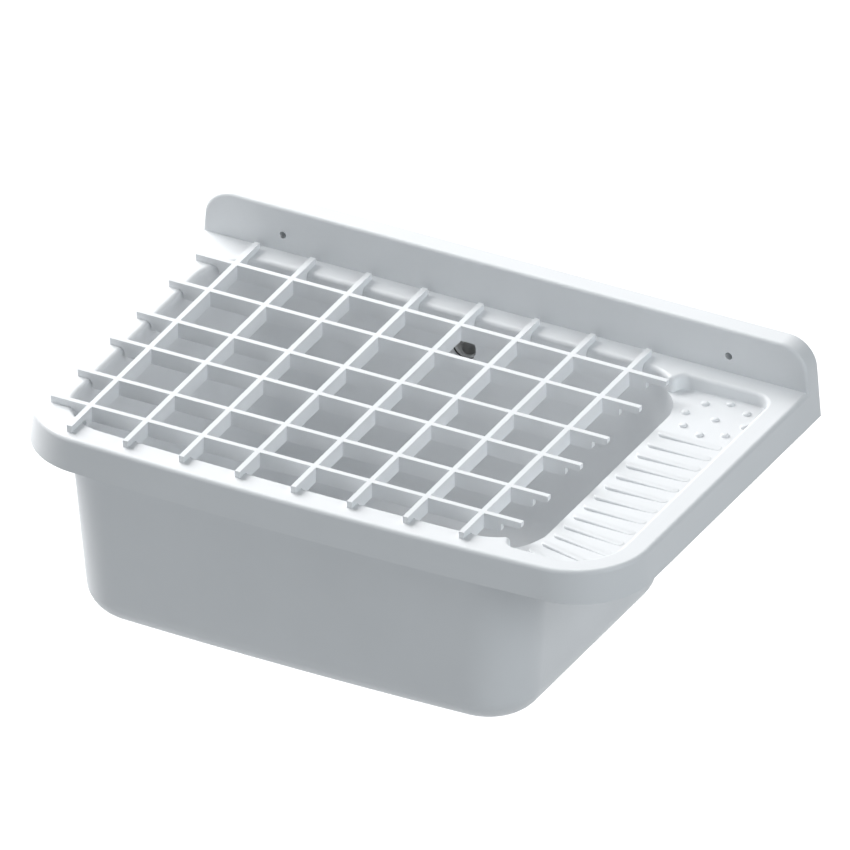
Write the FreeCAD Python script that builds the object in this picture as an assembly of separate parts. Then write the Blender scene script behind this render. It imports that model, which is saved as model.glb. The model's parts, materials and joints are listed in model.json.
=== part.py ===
"""Wall-hung mop service sink: a white moulded basin with a washboard, a lift-off bucket grate,
and the waste and overflow fittings that it needs underneath.

Millimetres. X runs to the right along the wall, Y points into the wall and Z is up.
The origin lies in the wall plane, midway between the two wall screw holes.
"""

import FreeCAD, Part
import math
import os

from FreeCAD import Vector

# ---------------------------------------------------------------- basin: rim, skirt and upstand
overall_width = 600.0            # across the lower edge of the skirt
overall_depth = 394.0            # from the wall to the middle of the skirt's lower front edge
moulding_wall = 4.0              # wall of the basin moulding
skirt_wall = 3.0                 # wall of the skirt around the rim
skirt_height = 31.5
skirt_draft = math.radians(4.5)
front_bulge_radius = 4900.0      # the front edge bows out a little in plan
front_corner_radius = 70.0       # plan radius of the two front corners
rim_edge_radius = 4.0            # rounding along the outer edge of the rim
screw_above_rim = 16.1           # height of the wall screws over the rim
screw_spacing = 438.0
screw_hole_radius = 3.5
screw_boss_wall = 3.5
upstand_height = 43.3            # above the rim
upstand_depth = 18.7
upstand_corner_radius = 25.0
upstand_edge_radius = 3.5
upstand_rib_thickness = 3.0
upstand_rib_pitch = 73.0

# ---------------------------------------------------------------- basin: bowl
bowl_depth = 198.5               # from the rim down to the floor's edge
bowl_draft = math.radians(5.0)
bowl_front_draft = math.radians(3.2)   # the front wall is steeper than the others
bowl_left_land = 31.2            # rim left of the bowl
bowl_rear_land = 21.7            # rim between bowl and upstand
bowl_front_land = 27.4           # rim in front of the bowl
bowl_right_land = 99.8           # deck right of the bowl, which holds the tray
bowl_corner_radius = 50.0        # plan radius of the inner corners at the rim
bowl_foot_corner_radius = 47.0   # the same at the floor
bowl_foot_radius = 22.0          # rounding between walls and floor, inside
opening_edge_radius = 4.0        # rounding around the opening in the rim
floor_fall = 4.0                 # the floor dips this much to the drain
floor_funnel_radius = 125.0

# ---------------------------------------------------------------- basin: washboard tray
tray_right_land = 23.2           # rim right of the tray
tray_overlap = 15.5              # how far the tray's outline runs into the bowl's
tray_beyond_bowl = 1.4           # the tray is longer than the bowl by this at each end
tray_lip_depth = 14.1            # tray floor below the rim at the bowl
tray_fall = 2.0                  # the tray floor is higher by this at its right-hand side
tray_draft = math.radians(1.0)
tray_inner_corner_radius = 10.0  # the two corners beside the bowl
tray_rear_corner_radius = 18.0
tray_front_corner_radius = 48.0
nose_radius = 5.0                # round tips between the bowl's outline and the tray's
rib_height = 3.0                 # level rib tops over the tray floor at its lip
rib_pitch = 20.0
rib_width = 9.0
rib_chamfer = 1.2
rib_start = 5.3                  # from the tray's lip to the ribs, around its corner too
rib_end_gap = 9.1                # from the ribs to the tray's right-hand edge
first_rib_from_rear = 79.5       # from the tray's rear edge to the first rib
last_rib_room = 6.0              # least room in front of the last rib
fanned_rib_count = 7             # the foremost ribs turn to follow the front corner
rib_fan_angle = math.radians(0.38)
rib_fan_crowding = 0.28
nub_ring_count = 8
nub_height = 2.4
nub_foot_radius = 3.8
nub_top_radius = 1.8
nub_edge_gap = 5.5               # from the ring of nubs to the tray's lip and right-hand edge
nub_centre_from_rear = 37.5

# ---------------------------------------------------------------- grate
grate_depth = 15.0
grate_bar = 5.0                  # thickness of every bar
arm_depth = 6.5                  # the arms that rest on the rim are shallower
left_arm_bearing = 12.0          # how far the arms reach over the rim
rear_arm_bearing = 15.0
front_arm_bearing = 11.5
arm_gap = 1.2                    # between the deep part of a bar and the bowl wall
notch_radius = 5.5
cross_bar_pitch = 55.0
first_cross_bar = 26.0           # from the bowl's left edge
narrow_row_step = 50.0           # rows stand by turns this far apart
wide_row_step = 60.0             # and this far
first_row = 25.0                 # from the bowl's rear edge
last_row_room = 20.0             # least room from the last row to the bowl's front edge
free_arm = 39.0                  # bar ends past the last cross bar, over the bowl
free_arm_root = 24.3             # the part of them that is still deep
short_arm_root = 19.3            # the same in the rows near the bowl's rear and front
short_root_rear_zone = 100.0
short_root_front_zone = 50.0
free_arm_radius = 3.0
free_arm_room = 5.0              # least room from the free ends to the bowl's right-hand edge

# ---------------------------------------------------------------- waste fitting
drain_radius = 26.0              # hole in the floor
drain_from_left = 236.5          # drain and overflow from the bowl's left edge
drain_from_rear = 164.0          # drain axis from the bowl's rear edge
flange_radius = 35.0
flange_sheet = 1.2
flange_bowl_radius = 22.5        # dish of the strainer at its top
flange_foot_radius = 18.0
flange_bowl_depth = 10.0
strainer_hole_radius = 2.6
strainer_hole_ring = 11.5
strainer_hole_count = 8
seal_thickness = 1.5
seal_clearance = 0.5             # between seals and the holes and necks inside them
seat_thickness = 4.0             # floor under the strainer's seat
underside_seal_thickness = 3.5
body_flange = 3.5
cup_radius = 29.0
cup_wall = 2.5
cup_depth = 26.0
neck_height = 6.0
outlet_thread_radius = 23.9      # 1 1/2 inch pipe thread over its crests
outlet_wall = 3.2
outlet_length = 20.0
spoke_width = 4.0
spoke_height = 8.0
hub_radius = 7.0
insert_radius = 4.6
screw_radius = 3.0
screw_head_radius = 5.5
screw_head_height = 2.6
screw_slot_width = 1.4
fit_gap = 0.05                   # between pieces that fit into each other
branch_drop = 18.0               # overflow branch's axis below the body's top
branch_reach = 50.0              # from the drain axis to the branch's mouth

# ---------------------------------------------------------------- plug
plug_cap_radius = 26.0
plug_cap_height = 2.5
plug_depth = 6.0
plug_clearance = 0.6
plug_knob_radius = 6.0
plug_knob_height = 11.0
plug_taper = 1.5

# ---------------------------------------------------------------- overflow
overflow_radius = 13.5           # hole in the rear wall
overflow_below_rim = 31.8
overflow_pad = 3.0               # thickened pad behind the rear wall
overflow_pad_radius = 19.0
ear_reach = 22.0                 # from the hole's axis to the two screws
ear_radius = 7.0
gasket_thickness = 2.0
elbow_flange = 3.0
elbow_radius = 11.0
elbow_wall = 2.2
elbow_drop = 40.0                # from the hole's axis to the elbow's mouth
elbow_screw_radius = 1.9
elbow_screw_head_radius = 3.8
elbow_screw_length = 9.0
elbow_pilot_depth = 5.5

# ---------------------------------------------------------------- overflow hose and its unions
hose_radius = 11.5               # over the ribs
hose_valley_radius = 10.0
hose_bore_radius = 8.3
hose_rib_pitch = 10.0
hose_bend_radius = 62.0
hose_insertion = 10.0            # plain end inside a socket
socket_radius = 13.0
socket_length = 14.0
socket_gap = 0.3
union_seal_height = 3.0
nut_wall = 2.6
nut_grip = 9.0                   # thread covered by the nut
nut_lip = 2.0

# ---------------------------------------------------------------- places worked out from the sizes
rim_z = -screw_above_rim
skirt_foot_z = rim_z - skirt_height
half_foot = overall_width / 2
half_rim = half_foot - skirt_height * math.tan(skirt_draft)
rim_front_y = -overall_depth + skirt_height * math.tan(skirt_draft)
upstand_face_y = -upstand_depth
upstand_top_z = rim_z + upstand_height
cut_over = 6.0                   # cutting tools reach this far past what they cut
same = 0.01                      # places nearer than this count as one

bowl_x0 = -half_rim + bowl_left_land
bowl_x1 = half_rim - bowl_right_land
bowl_rear_y = upstand_face_y - bowl_rear_land
bowl_front_y = rim_front_y + bowl_front_land
floor_z = rim_z - bowl_depth

tray_x0 = bowl_x1 - tray_overlap
tray_x1 = half_rim - tray_right_land
tray_rear_y = bowl_rear_y + tray_beyond_bowl
tray_front_y = bowl_front_y - tray_beyond_bowl
tray_floor_width = tray_x1 - bowl_x1
tray_slope = tray_fall / tray_floor_width
rib_length = tray_floor_width - rib_start - rib_end_gap
rib_count = 1 + int((tray_rear_y - tray_front_y - first_rib_from_rear - last_rib_room) / rib_pitch)
nub_ring_radius = tray_floor_width / 2 - nub_edge_gap - nub_foot_radius

grate_top_z = rim_z + arm_depth
drain_x = bowl_x0 + drain_from_left
drain_y = bowl_rear_y - drain_from_rear
seat_z = floor_z - floor_fall
flange_seat_z = seat_z - flange_sheet - seal_thickness
floor_under_z = flange_seat_z - seat_thickness
body_top_z = floor_under_z - underside_seal_thickness
cup_bottom_z = body_top_z - body_flange - cup_depth
outlet_top_z = cup_bottom_z - neck_height
branch_z = body_top_z - branch_drop
strainer_z = seat_z - flange_bowl_depth


def box(x0, x1, y0, y1, z0, z1):
    return Part.makeBox(x1 - x0, y1 - y0, z1 - z0, Vector(x0, y0, z0))


def rod(radius, length, foot, direction=Vector(0, 0, 1)):
    return Part.makeCylinder(radius, length, foot, direction)


def tube(outer, inner, length, foot, direction=Vector(0, 0, 1)):
    return rod(outer, length, foot, direction).cut(rod(inner, length, foot, direction))


def line(a, b):
    return Part.LineSegment(a, b).toShape()


def arc_about(centre, radius, start, end):
    """The shorter arc from start to end about a centre in the same horizontal plane."""
    middle = (start - centre).normalize() + (end - centre).normalize()
    return Part.Arc(start, centre + middle.normalize() * radius, end).toShape()


def outline(x0, x1, front, rear, z, radii, bulge=0.0):
    """Closed plan outline with rounded corners (front left, front right, rear right, rear left).

    With a bulge the front side is an arc of that radius whose middle lies at x = 0.
    """
    left_r, right_r, rear_right_r, rear_left_r = radii
    if bulge:
        hub = Vector(0, front + bulge, z)
        reach_left = bulge - left_r
        reach_right = bulge - right_r
        left_y = hub.y - math.sqrt(reach_left ** 2 - (x0 + left_r) ** 2)
        right_y = hub.y - math.sqrt(reach_right ** 2 - (x1 - right_r) ** 2)
        left_c = Vector(x0 + left_r, left_y, z)
        right_c = Vector(x1 - right_r, right_y, z)
        front_left = hub + (left_c - hub) * (bulge / reach_left)
        front_right = hub + (right_c - hub) * (bulge / reach_right)
        front_edge = Part.Arc(front_left, Vector(0, front, z), front_right).toShape()
    else:
        left_c = Vector(x0 + left_r, front + left_r, z)
        right_c = Vector(x1 - right_r, front + right_r, z)
        front_left = Vector(left_c.x, front, z)
        front_right = Vector(right_c.x, front, z)
        front_edge = line(front_left, front_right)
    side_left = Vector(x0, left_c.y, z)
    side_right = Vector(x1, right_c.y, z)
    top_right = Vector(x1, rear - rear_right_r, z)
    top_left = Vector(x0, rear - rear_left_r, z)
    edges = [arc_about(left_c, left_r, side_left, front_left), front_edge]
    edges += [arc_about(right_c, right_r, front_right, side_right), line(side_right, top_right)]
    rear_right = Vector(x1 - rear_right_r, rear, z)
    rear_left = Vector(x0 + rear_left_r, rear, z)
    if rear_right_r:
        centre = Vector(x1 - rear_right_r, rear - rear_right_r, z)
        edges.append(arc_about(centre, rear_right_r, top_right, rear_right))
    edges.append(line(rear_right, rear_left))
    if rear_left_r:
        centre = Vector(x0 + rear_left_r, rear - rear_left_r, z)
        edges.append(arc_about(centre, rear_left_r, rear_left, top_left))
    edges.append(line(top_left, side_left))
    return Part.Wire(edges)


def loft(*wires):
    return Part.makeLoft(list(wires), True, True)


# ---------------------------------------------------------------- basin

def skirt_block(inset, top_z):
    """The rim and skirt as a solid block, drawn in from its outer face by inset."""
    def section(z):
        spread = (z - skirt_foot_z) * math.tan(skirt_draft)
        radius = front_corner_radius - inset
        half = half_foot - spread - inset
        front = -overall_depth + spread + inset
        bulge = front_bulge_radius - inset - spread
        return outline(-half, half, front, 0.0, z, (radius, radius, 0, 0), bulge)
    return loft(section(skirt_foot_z), section(top_z))


def rounded_skirt():
    """Rim and skirt with the outer edge of the rim rounded."""
    block = skirt_block(0.0, rim_z)
    edges = []
    for edge in block.Edges:
        on_top = abs(edge.BoundBox.ZMin - rim_z) < same and abs(edge.BoundBox.ZMax - rim_z) < same
        at_wall = edge.BoundBox.YMin > -same
        if on_top and not at_wall:
            edges.append(edge)
    return block.makeFillet(rim_edge_radius, edges)


def upstand_block(inset, face_y, foot_z):
    """The upstand as a solid slab, drawn in from its ends and top by inset."""
    top = upstand_top_z - inset
    radius = upstand_corner_radius - inset
    lean = math.tan(skirt_draft)

    def half_at(z):
        return half_foot - (z - skirt_foot_z) * lean - inset
    foot_half = half_at(foot_z)
    # the corner arc is tangent to the leaning end and to the level top
    centre_z = top - radius
    centre_x = half_at(centre_z) - radius / math.cos(skirt_draft)
    touch_z = centre_z + radius * math.sin(skirt_draft)
    touch_x = centre_x + radius * math.cos(skirt_draft)
    mid_angle = (skirt_draft + math.pi / 2) / 2
    mid_x = centre_x + radius * math.cos(mid_angle)
    mid_z = centre_z + radius * math.sin(mid_angle)

    def at(x, z):
        return Vector(x, face_y, z)
    edges = [line(at(-foot_half, foot_z), at(foot_half, foot_z))]
    edges.append(line(at(foot_half, foot_z), at(touch_x, touch_z)))
    edges.append(Part.Arc(at(touch_x, touch_z), at(mid_x, mid_z), at(centre_x, top)).toShape())
    edges.append(line(at(centre_x, top), at(-centre_x, top)))
    edges.append(Part.Arc(at(-centre_x, top), at(-mid_x, mid_z), at(-touch_x, touch_z)).toShape())
    edges.append(line(at(-touch_x, touch_z), at(-foot_half, foot_z)))
    return Part.Face(Part.Wire(edges)).extrude(Vector(0, -face_y, 0))


def rounded_upstand():
    block = upstand_block(0.0, upstand_face_y, rim_z - rim_edge_radius)
    edges = []
    for edge in block.Edges:
        on_face = edge.BoundBox.YMax < upstand_face_y + same
        at_foot = edge.BoundBox.ZMax < rim_z
        if on_face and not at_foot:
            edges.append(edge)
    return block.makeFillet(upstand_edge_radius, edges)


def bowl_block(grow, top_z, foot_z):
    """The bowl's inside grown outwards by grow, from top_z down to foot_z."""
    def section(z):
        inset = (rim_z - z) * math.tan(bowl_draft) - grow
        front_inset = (rim_z - z) * math.tan(bowl_front_draft) - grow
        share = (rim_z - z) / bowl_depth
        corner = bowl_corner_radius + (bowl_foot_corner_radius - bowl_corner_radius) * share + grow
        radii = (corner, corner, corner, corner)
        bulge = front_bulge_radius - front_inset
        front = bowl_front_y + front_inset
        return outline(bowl_x0 + inset, bowl_x1 - inset, front, bowl_rear_y - inset, z, radii, bulge)
    return loft(section(foot_z), section(top_z))


def foot_edges(block, z):
    found = []
    for edge in block.Edges:
        if abs(edge.BoundBox.ZMin - z) < same and abs(edge.BoundBox.ZMax - z) < same:
            found.append(edge)
    return found


def bowl_outside():
    foot = floor_z - moulding_wall
    block = bowl_block(moulding_wall, rim_z - moulding_wall / 2, foot)
    return block.makeFillet(bowl_foot_radius + moulding_wall, foot_edges(block, foot))


def bowl_inside():
    block = bowl_block(0.0, rim_z + cut_over, floor_z)
    return block.makeFillet(bowl_foot_radius, foot_edges(block, floor_z))


def tray_block(grow, top_z, foot_z):
    """The washboard tray's inside grown outwards by grow."""
    def section(z):
        inset = (rim_z - z) * math.tan(tray_draft) - grow
        small = tray_inner_corner_radius - inset
        radii = (small, tray_front_corner_radius - inset, tray_rear_corner_radius - inset, small)
        front = tray_front_y + inset
        return outline(tray_x0 + inset, tray_x1 - inset, front, tray_rear_y - inset, z, radii)
    return loft(section(foot_z), section(top_z))


def tray_floor_z(x):
    return rim_z - tray_lip_depth + (x - bowl_x1) * tray_slope


def tray_inside():
    """Cutting tool for the tray: its floor slopes down towards the bowl."""
    deepest = tray_floor_z(tray_x0)
    block = tray_block(0.0, rim_z + cut_over, deepest)
    low = Vector(tray_x0 - cut_over, 0, tray_floor_z(tray_x0 - cut_over))
    high = Vector(tray_x1 + cut_over, 0, tray_floor_z(tray_x1 + cut_over))
    under = Vector(high.x, 0, low.z - cut_over)
    corner = Vector(low.x, 0, low.z - cut_over)
    wedge = Part.Face(Part.makePolygon([low, high, under, corner, low]))
    length = overall_depth + cut_over
    return block.cut(wedge.extrude(Vector(0, -length, 0)))


def opening():
    """Bowl and tray as one cutting tool, with the two tips between them rounded."""
    tool = bowl_inside().fuse(tray_inside()).removeSplitter()
    tips = []
    for edge in tool.Edges:
        middle = edge.BoundBox.Center
        tall = edge.BoundBox.ZLength > tray_lip_depth
        near_tray = tray_x0 - nose_radius < middle.x < bowl_x1
        at_ends = middle.y > bowl_rear_y - bowl_corner_radius or middle.y < bowl_front_y + bowl_corner_radius
        if tall and near_tray and at_ends and edge.BoundBox.ZLength < bowl_depth / 2:
            tips.append(edge)
    return tool.makeFillet(nose_radius, tips)


def onto_tray_floor(shape):
    """Lays a piece that was built on a level floor at x = 0 onto the sloping tray floor at its lip."""
    shape.rotate(Vector(0, 0, 0), Vector(0, 1, 0), -math.degrees(math.atan(tray_slope)))
    shape.translate(Vector(bowl_x1, 0, tray_floor_z(bowl_x1)))
    return shape


def washboard_rib(number):
    """One raised rib with a level top. The last ones turn and crowd around the front corner."""
    fan = max(0, number + 1 + fanned_rib_count - rib_count)
    angle = rib_fan_angle * fan ** 2
    y = tray_rear_y - first_rib_from_rear - rib_pitch * number + rib_fan_crowding * fan ** 2
    corner_start_y = front_edge_middle(bowl_x1 - bowl_corner_radius) - rib_start
    drawn_in = corner_inset(y - corner_start_y, bowl_corner_radius + rib_start)
    length = rib_length + drawn_in
    half = rib_width / 2
    root = moulding_wall / 2
    far = length - half
    edges = [line(Vector(half, -half, 0), Vector(far, -half, 0))]
    edges.append(Part.Arc(Vector(far, -half, 0), Vector(length, 0, 0), Vector(far, half, 0)).toShape())
    edges.append(line(Vector(far, half, 0), Vector(half, half, 0)))
    edges.append(Part.Arc(Vector(half, half, 0), Vector(0, 0, 0), Vector(half, -half, 0)).toShape())
    rib = Part.Face(Part.Wire(edges)).extrude(Vector(0, 0, rib_height + root))
    top = [edge for edge in rib.Edges if edge.BoundBox.ZMin > rib_height + root - same]
    rib = rib.makeChamfer(rib_chamfer, top)
    rib.rotate(Vector(0, 0, 0), Vector(0, 0, 1), -math.degrees(angle))
    rib.translate(Vector(bowl_x1 + rib_start - drawn_in, y, tray_floor_z(bowl_x1) - root))
    return rib


def washboard_ribs():
    """All ribs, trimmed to the tray so that none stands in its walls or over the bowl."""
    ribs = washboard_rib(0).fuse([washboard_rib(number) for number in range(1, rib_count)])
    room = tray_block(-1.0, rim_z, tray_floor_z(bowl_x1) - moulding_wall)
    return ribs.common(room)


def soap_nub(x, y):
    """One nub, a blunt cone whose foot is sunk into the floor."""
    root = moulding_wall / 2
    foot = rod(nub_foot_radius, root, Vector(x, y, -root))
    return foot.fuse(Part.makeCone(nub_foot_radius, nub_top_radius, nub_height, Vector(x, y, 0)))


def soap_nubs():
    """A ring of nubs with one in the middle, which keep the soap off the floor."""
    x = tray_floor_width / 2
    y = tray_rear_y - nub_centre_from_rear
    nubs = [soap_nub(x, y)]
    for number in range(nub_ring_count):
        turn = 2 * math.pi * number / nub_ring_count
        nubs.append(soap_nub(x + nub_ring_radius * math.cos(turn), y + nub_ring_radius * math.sin(turn)))
    return [onto_tray_floor(nub) for nub in nubs]


def screw_places():
    return [Vector(-screw_spacing / 2, 0, 0), Vector(screw_spacing / 2, 0, 0)]


def upstand_inside_ribs():
    """Ribs across the hollow back of the upstand, beside and between the screws."""
    ribs = []
    inner_face = upstand_face_y + moulding_wall / 2
    count = int((half_rim - upstand_corner_radius) / upstand_rib_pitch)
    for number in range(-count, count + 1):
        x = number * upstand_rib_pitch - upstand_rib_thickness / 2
        top = upstand_top_z - moulding_wall / 2
        ribs.append(box(x, x + upstand_rib_thickness, inner_face, 0.0, rim_z - moulding_wall / 2, top))
    return ribs


def tilt_to_rear_wall(shape):
    """Turns a piece that was built square to Y so that it stands square on the leaning rear wall."""
    shape.rotate(Vector(drain_x, overflow_y, overflow_z), Vector(1, 0, 0), -math.degrees(bowl_draft))
    return shape


overflow_z = rim_z - overflow_below_rim
overflow_y = bowl_rear_y - overflow_below_rim * math.tan(bowl_draft)
pad_face = moulding_wall + overflow_pad      # from the inside of the rear wall to the pad's face
rearward = Vector(0, 1, 0)


def overflow_point(x=0.0, y=0.0, z=0.0):
    """A place counted from where the overflow's axis leaves the inside of the rear wall."""
    return Vector(drain_x + x, overflow_y + y, overflow_z + z)


def ear_sides():
    return (-ear_reach, ear_reach)


def overflow_plate(foot, thickness):
    """A plate around the overflow with an ear on each side for a screw."""
    plate = rod(overflow_pad_radius, thickness, overflow_point(y=foot), rearward)
    for side in ear_sides():
        plate = plate.fuse(rod(ear_radius, thickness, overflow_point(x=side, y=foot), rearward))
    return plate


def build_basin():
    hollow = skirt_block(skirt_wall, rim_z - moulding_wall)
    back = upstand_block(moulding_wall, upstand_face_y + moulding_wall, skirt_foot_z - cut_over)
    # open at the wall and below: only the walls of rim, skirt and upstand stay
    half_back = half_foot - skirt_wall * 2
    back = back.fuse(box(-half_back, half_back, upstand_face_y + moulding_wall, cut_over,
                         skirt_foot_z - cut_over, rim_z - moulding_wall))
    shell = rounded_skirt().fuse(rounded_upstand()).cut(hollow.fuse(back))
    tray_foot = tray_floor_z(tray_x0) - moulding_wall
    tray_outside = tray_block(moulding_wall, rim_z - moulding_wall / 2, tray_foot)
    funnel_outside = Part.makeCone(floor_funnel_radius, drain_radius, floor_fall,
                                   Vector(drain_x, drain_y, floor_z - moulding_wall), Vector(0, 0, -1))
    seat = rod(flange_radius + seal_clearance + moulding_wall, seat_z - floor_under_z,
               Vector(drain_x, drain_y, floor_under_z))
    overflow_back = tilt_to_rear_wall(overflow_plate(moulding_wall / 2, pad_face - moulding_wall / 2))
    body = shell.fuse([bowl_outside(), tray_outside, funnel_outside, seat, overflow_back])
    body = body.fuse(upstand_inside_ribs())
    boss_radius = screw_hole_radius + screw_boss_wall
    boss_start = upstand_face_y + moulding_wall / 2
    for place in screw_places():
        body = body.fuse(rod(boss_radius, -boss_start, place + Vector(0, boss_start, 0), rearward))
    body = body.cut(opening())
    rim_edges = []
    for edge in body.Edges:
        bound = edge.BoundBox
        level = abs(bound.ZMin - rim_z) < same and abs(bound.ZMax - rim_z) < same
        inside = bound.XMin > -half_rim + bowl_left_land / 2 and bound.XMax < half_rim - tray_right_land / 2
        off_wall = bound.YMax < upstand_face_y - bowl_rear_land / 3
        off_front = bound.YMin > rim_front_y + bowl_left_land / 3
        if level and inside and off_wall and off_front:
            rim_edges.append(edge)
    body = body.makeFillet(opening_edge_radius, rim_edges)
    body = body.fuse(washboard_ribs())
    body = body.fuse(soap_nubs())
    funnel = Part.makeCone(floor_funnel_radius, drain_radius, floor_fall, Vector(drain_x, drain_y, floor_z),
                           Vector(0, 0, -1))
    recess = rod(flange_radius + seal_clearance, cut_over, Vector(drain_x, drain_y, flange_seat_z))
    hole = rod(drain_radius, bowl_depth / 2, Vector(drain_x, drain_y, floor_under_z - cut_over))
    cuts = [funnel, recess, hole]
    overflow_hole = rod(overflow_radius, pad_face + 2 * cut_over, overflow_point(y=-cut_over), rearward)
    cuts.append(tilt_to_rear_wall(overflow_hole))
    for side in ear_sides():
        start = pad_face - elbow_pilot_depth
        pilot = rod(elbow_screw_radius, elbow_pilot_depth, overflow_point(x=side, y=start), rearward)
        cuts.append(tilt_to_rear_wall(pilot))
    for place in screw_places():
        reach = upstand_depth + 2 * cut_over
        cuts.append(rod(screw_hole_radius, reach, place - Vector(0, upstand_depth + cut_over, 0), rearward))
    return body.cut(cuts).removeSplitter()


# ---------------------------------------------------------------- grate

def corner_inset(distance, radius):
    """How far a rounded corner has drawn an edge in, at a distance from the corner's start."""
    if distance >= radius:
        return 0.0
    return radius - math.sqrt(radius ** 2 - (radius - distance) ** 2)


def left_edge_at(y):
    """The bowl's left edge at the rim, on the more inward side of a bar at y."""
    from_rear = bowl_rear_y - y - grate_bar / 2
    from_front = y - grate_bar / 2 - front_edge_middle(bowl_x0 + bowl_corner_radius)
    nearest = max(0.0, min(from_rear, from_front))
    return bowl_x0 + corner_inset(nearest, bowl_corner_radius)


def front_edge_middle(x):
    """The bowl's bowed front edge at x, without its corners."""
    return bowl_front_y + front_bulge_radius - math.sqrt(front_bulge_radius ** 2 - x ** 2)


def end_corner_inset(x):
    """How far the bowl's corners draw in its front and rear edges beside a bar at x."""
    from_left = x - grate_bar / 2 - bowl_x0
    from_right = bowl_x1 - x - grate_bar / 2
    return corner_inset(max(0.0, min(from_left, from_right)), bowl_corner_radius)


def bar_face(chain, place):
    """The side view of a bar as a face, from its corners and the middle points of its arcs."""
    edges = []
    for number, (kind, point) in enumerate(chain):
        after, later = chain[(number + 1) % len(chain)], chain[(number + 2) % len(chain)]
        if kind == "corner" and after[0] == "corner":
            edges.append(line(place(*point), place(*after[1])))
        elif kind == "corner":
            edges.append(Part.Arc(place(*point), place(*after[1]), place(*later[1])).toShape())
    return Part.Face(Part.Wire(edges))


def resting_end(tip, wall_at):
    """An end that rests on the rim, from the top of its tip to the full depth beside the wall."""
    bottom = grate_top_z - grate_depth
    way = 1.0 if wall_at > tip else -1.0
    deep = wall_at + way * (arm_gap + grate_depth * math.tan(bowl_draft))
    start = deep - way * notch_radius
    diagonal = notch_radius * math.sqrt(0.5)
    chain = [("corner", (tip, grate_top_z)), ("corner", (tip, rim_z)), ("corner", (start, rim_z))]
    chain.append(("arc", (start + way * diagonal, rim_z - notch_radius + diagonal)))
    chain.append(("corner", (deep, rim_z - notch_radius)))
    chain.append(("corner", (deep, bottom)))
    return chain


def arm_root(y):
    """How long the deep part of a row's free end is."""
    near_rear = bowl_rear_y - y < short_root_rear_zone
    near_front = y - bowl_front_y < short_root_front_zone
    return short_arm_root if near_rear or near_front else free_arm_root


def free_end(last_bar, deep):
    """An end that hangs free over the bowl, from the full depth to the top of its tip."""
    bottom = grate_top_z - grate_depth
    root = last_bar + deep
    tip = last_bar + free_arm
    inner = free_arm_radius * (1 - math.sqrt(0.5))
    chain = [("corner", (root - free_arm_radius, bottom))]
    chain.append(("arc", (root - inner, bottom + inner)))
    chain.append(("corner", (root, bottom + free_arm_radius)))
    chain.append(("corner", (root, rim_z)))
    chain.append(("corner", (tip - free_arm_radius, rim_z)))
    chain.append(("arc", (tip - inner, rim_z + inner)))
    chain.append(("corner", (tip, rim_z + free_arm_radius)))
    chain.append(("corner", (tip, grate_top_z)))
    return chain


def row_places():
    """Rows from the rear to the front, with a narrow and a wide step by turns."""
    rows = [bowl_rear_y - first_row]
    step = narrow_row_step
    while rows[-1] - step > bowl_front_y + last_row_room:
        rows.append(rows[-1] - step)
        step = wide_row_step if step == narrow_row_step else narrow_row_step
    return rows


def cross_bar_places():
    first = bowl_x0 + first_cross_bar
    room = bowl_x1 - free_arm_room - free_arm - first
    return [first + cross_bar_pitch * number for number in range(1 + int(room / cross_bar_pitch))]


def build_grate():
    bars = []
    for y in row_places():
        chain = resting_end(bowl_x0 - left_arm_bearing, left_edge_at(y))
        chain += free_end(cross_bar_places()[-1], arm_root(y))
        side = y - grate_bar / 2
        face = bar_face(chain, lambda u, z, side=side: Vector(u, side, z))
        bars.append(face.extrude(Vector(0, grate_bar, 0)))
    for x in cross_bar_places():
        inset = end_corner_inset(x)
        front_wall = front_edge_middle(abs(x) + grate_bar / 2) + inset
        front = resting_end(bowl_front_y - front_arm_bearing, front_wall)
        rear = resting_end(bowl_rear_y + rear_arm_bearing, bowl_rear_y - inset)
        side = x - grate_bar / 2
        face = bar_face(front + rear[::-1], lambda u, z, side=side: Vector(side, u, z))
        bars.append(face.extrude(Vector(grate_bar, 0, 0)))
    return bars[0].fuse(bars[1:]).removeSplitter()


# ---------------------------------------------------------------- waste fitting

def drain_point(z):
    return Vector(drain_x, drain_y, z)


def revolved(profile):
    """Turns a closed (radius, z) profile about the drain axis."""
    points = [Vector(drain_x + radius, drain_y, z) for radius, z in profile]
    face = Part.Face(Part.makePolygon(points + [points[0]]))
    return face.revolve(drain_point(0), Vector(0, 0, 1), 360)


def build_strainer_flange():
    """Sheet-metal dish: a flat lip, a tapered wall and a pierced bottom."""
    low = strainer_z
    sheet = flange_sheet
    profile = [(flange_radius, seat_z), (flange_bowl_radius, seat_z), (flange_foot_radius, low + sheet)]
    profile += [(screw_radius + fit_gap, low + sheet), (screw_radius + fit_gap, low)]
    profile += [(flange_foot_radius + sheet / 2, low), (flange_bowl_radius + sheet, seat_z - sheet)]
    profile += [(flange_radius, seat_z - sheet)]
    dish = revolved(profile)
    holes = []
    for number in range(strainer_hole_count):
        turn = 2 * math.pi * number / strainer_hole_count
        place = drain_point(low - sheet)
        place += Vector(strainer_hole_ring * math.cos(turn), strainer_hole_ring * math.sin(turn), 0)
        holes.append(rod(strainer_hole_radius, 3 * sheet, place))
    return dish.cut(holes)


def build_flange_seal():
    outer = flange_radius - seal_clearance
    return tube(outer, drain_radius + seal_clearance, seal_thickness, drain_point(flange_seat_z))


def build_underside_seal():
    """Thick ring under the floor, tapered outside."""
    inner = drain_radius + seal_clearance
    wide = flange_radius + seal_clearance
    profile = [(inner, floor_under_z), (wide, floor_under_z), (wide + seal_thickness, body_top_z)]
    profile += [(inner, body_top_z)]
    return revolved(profile)


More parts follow.
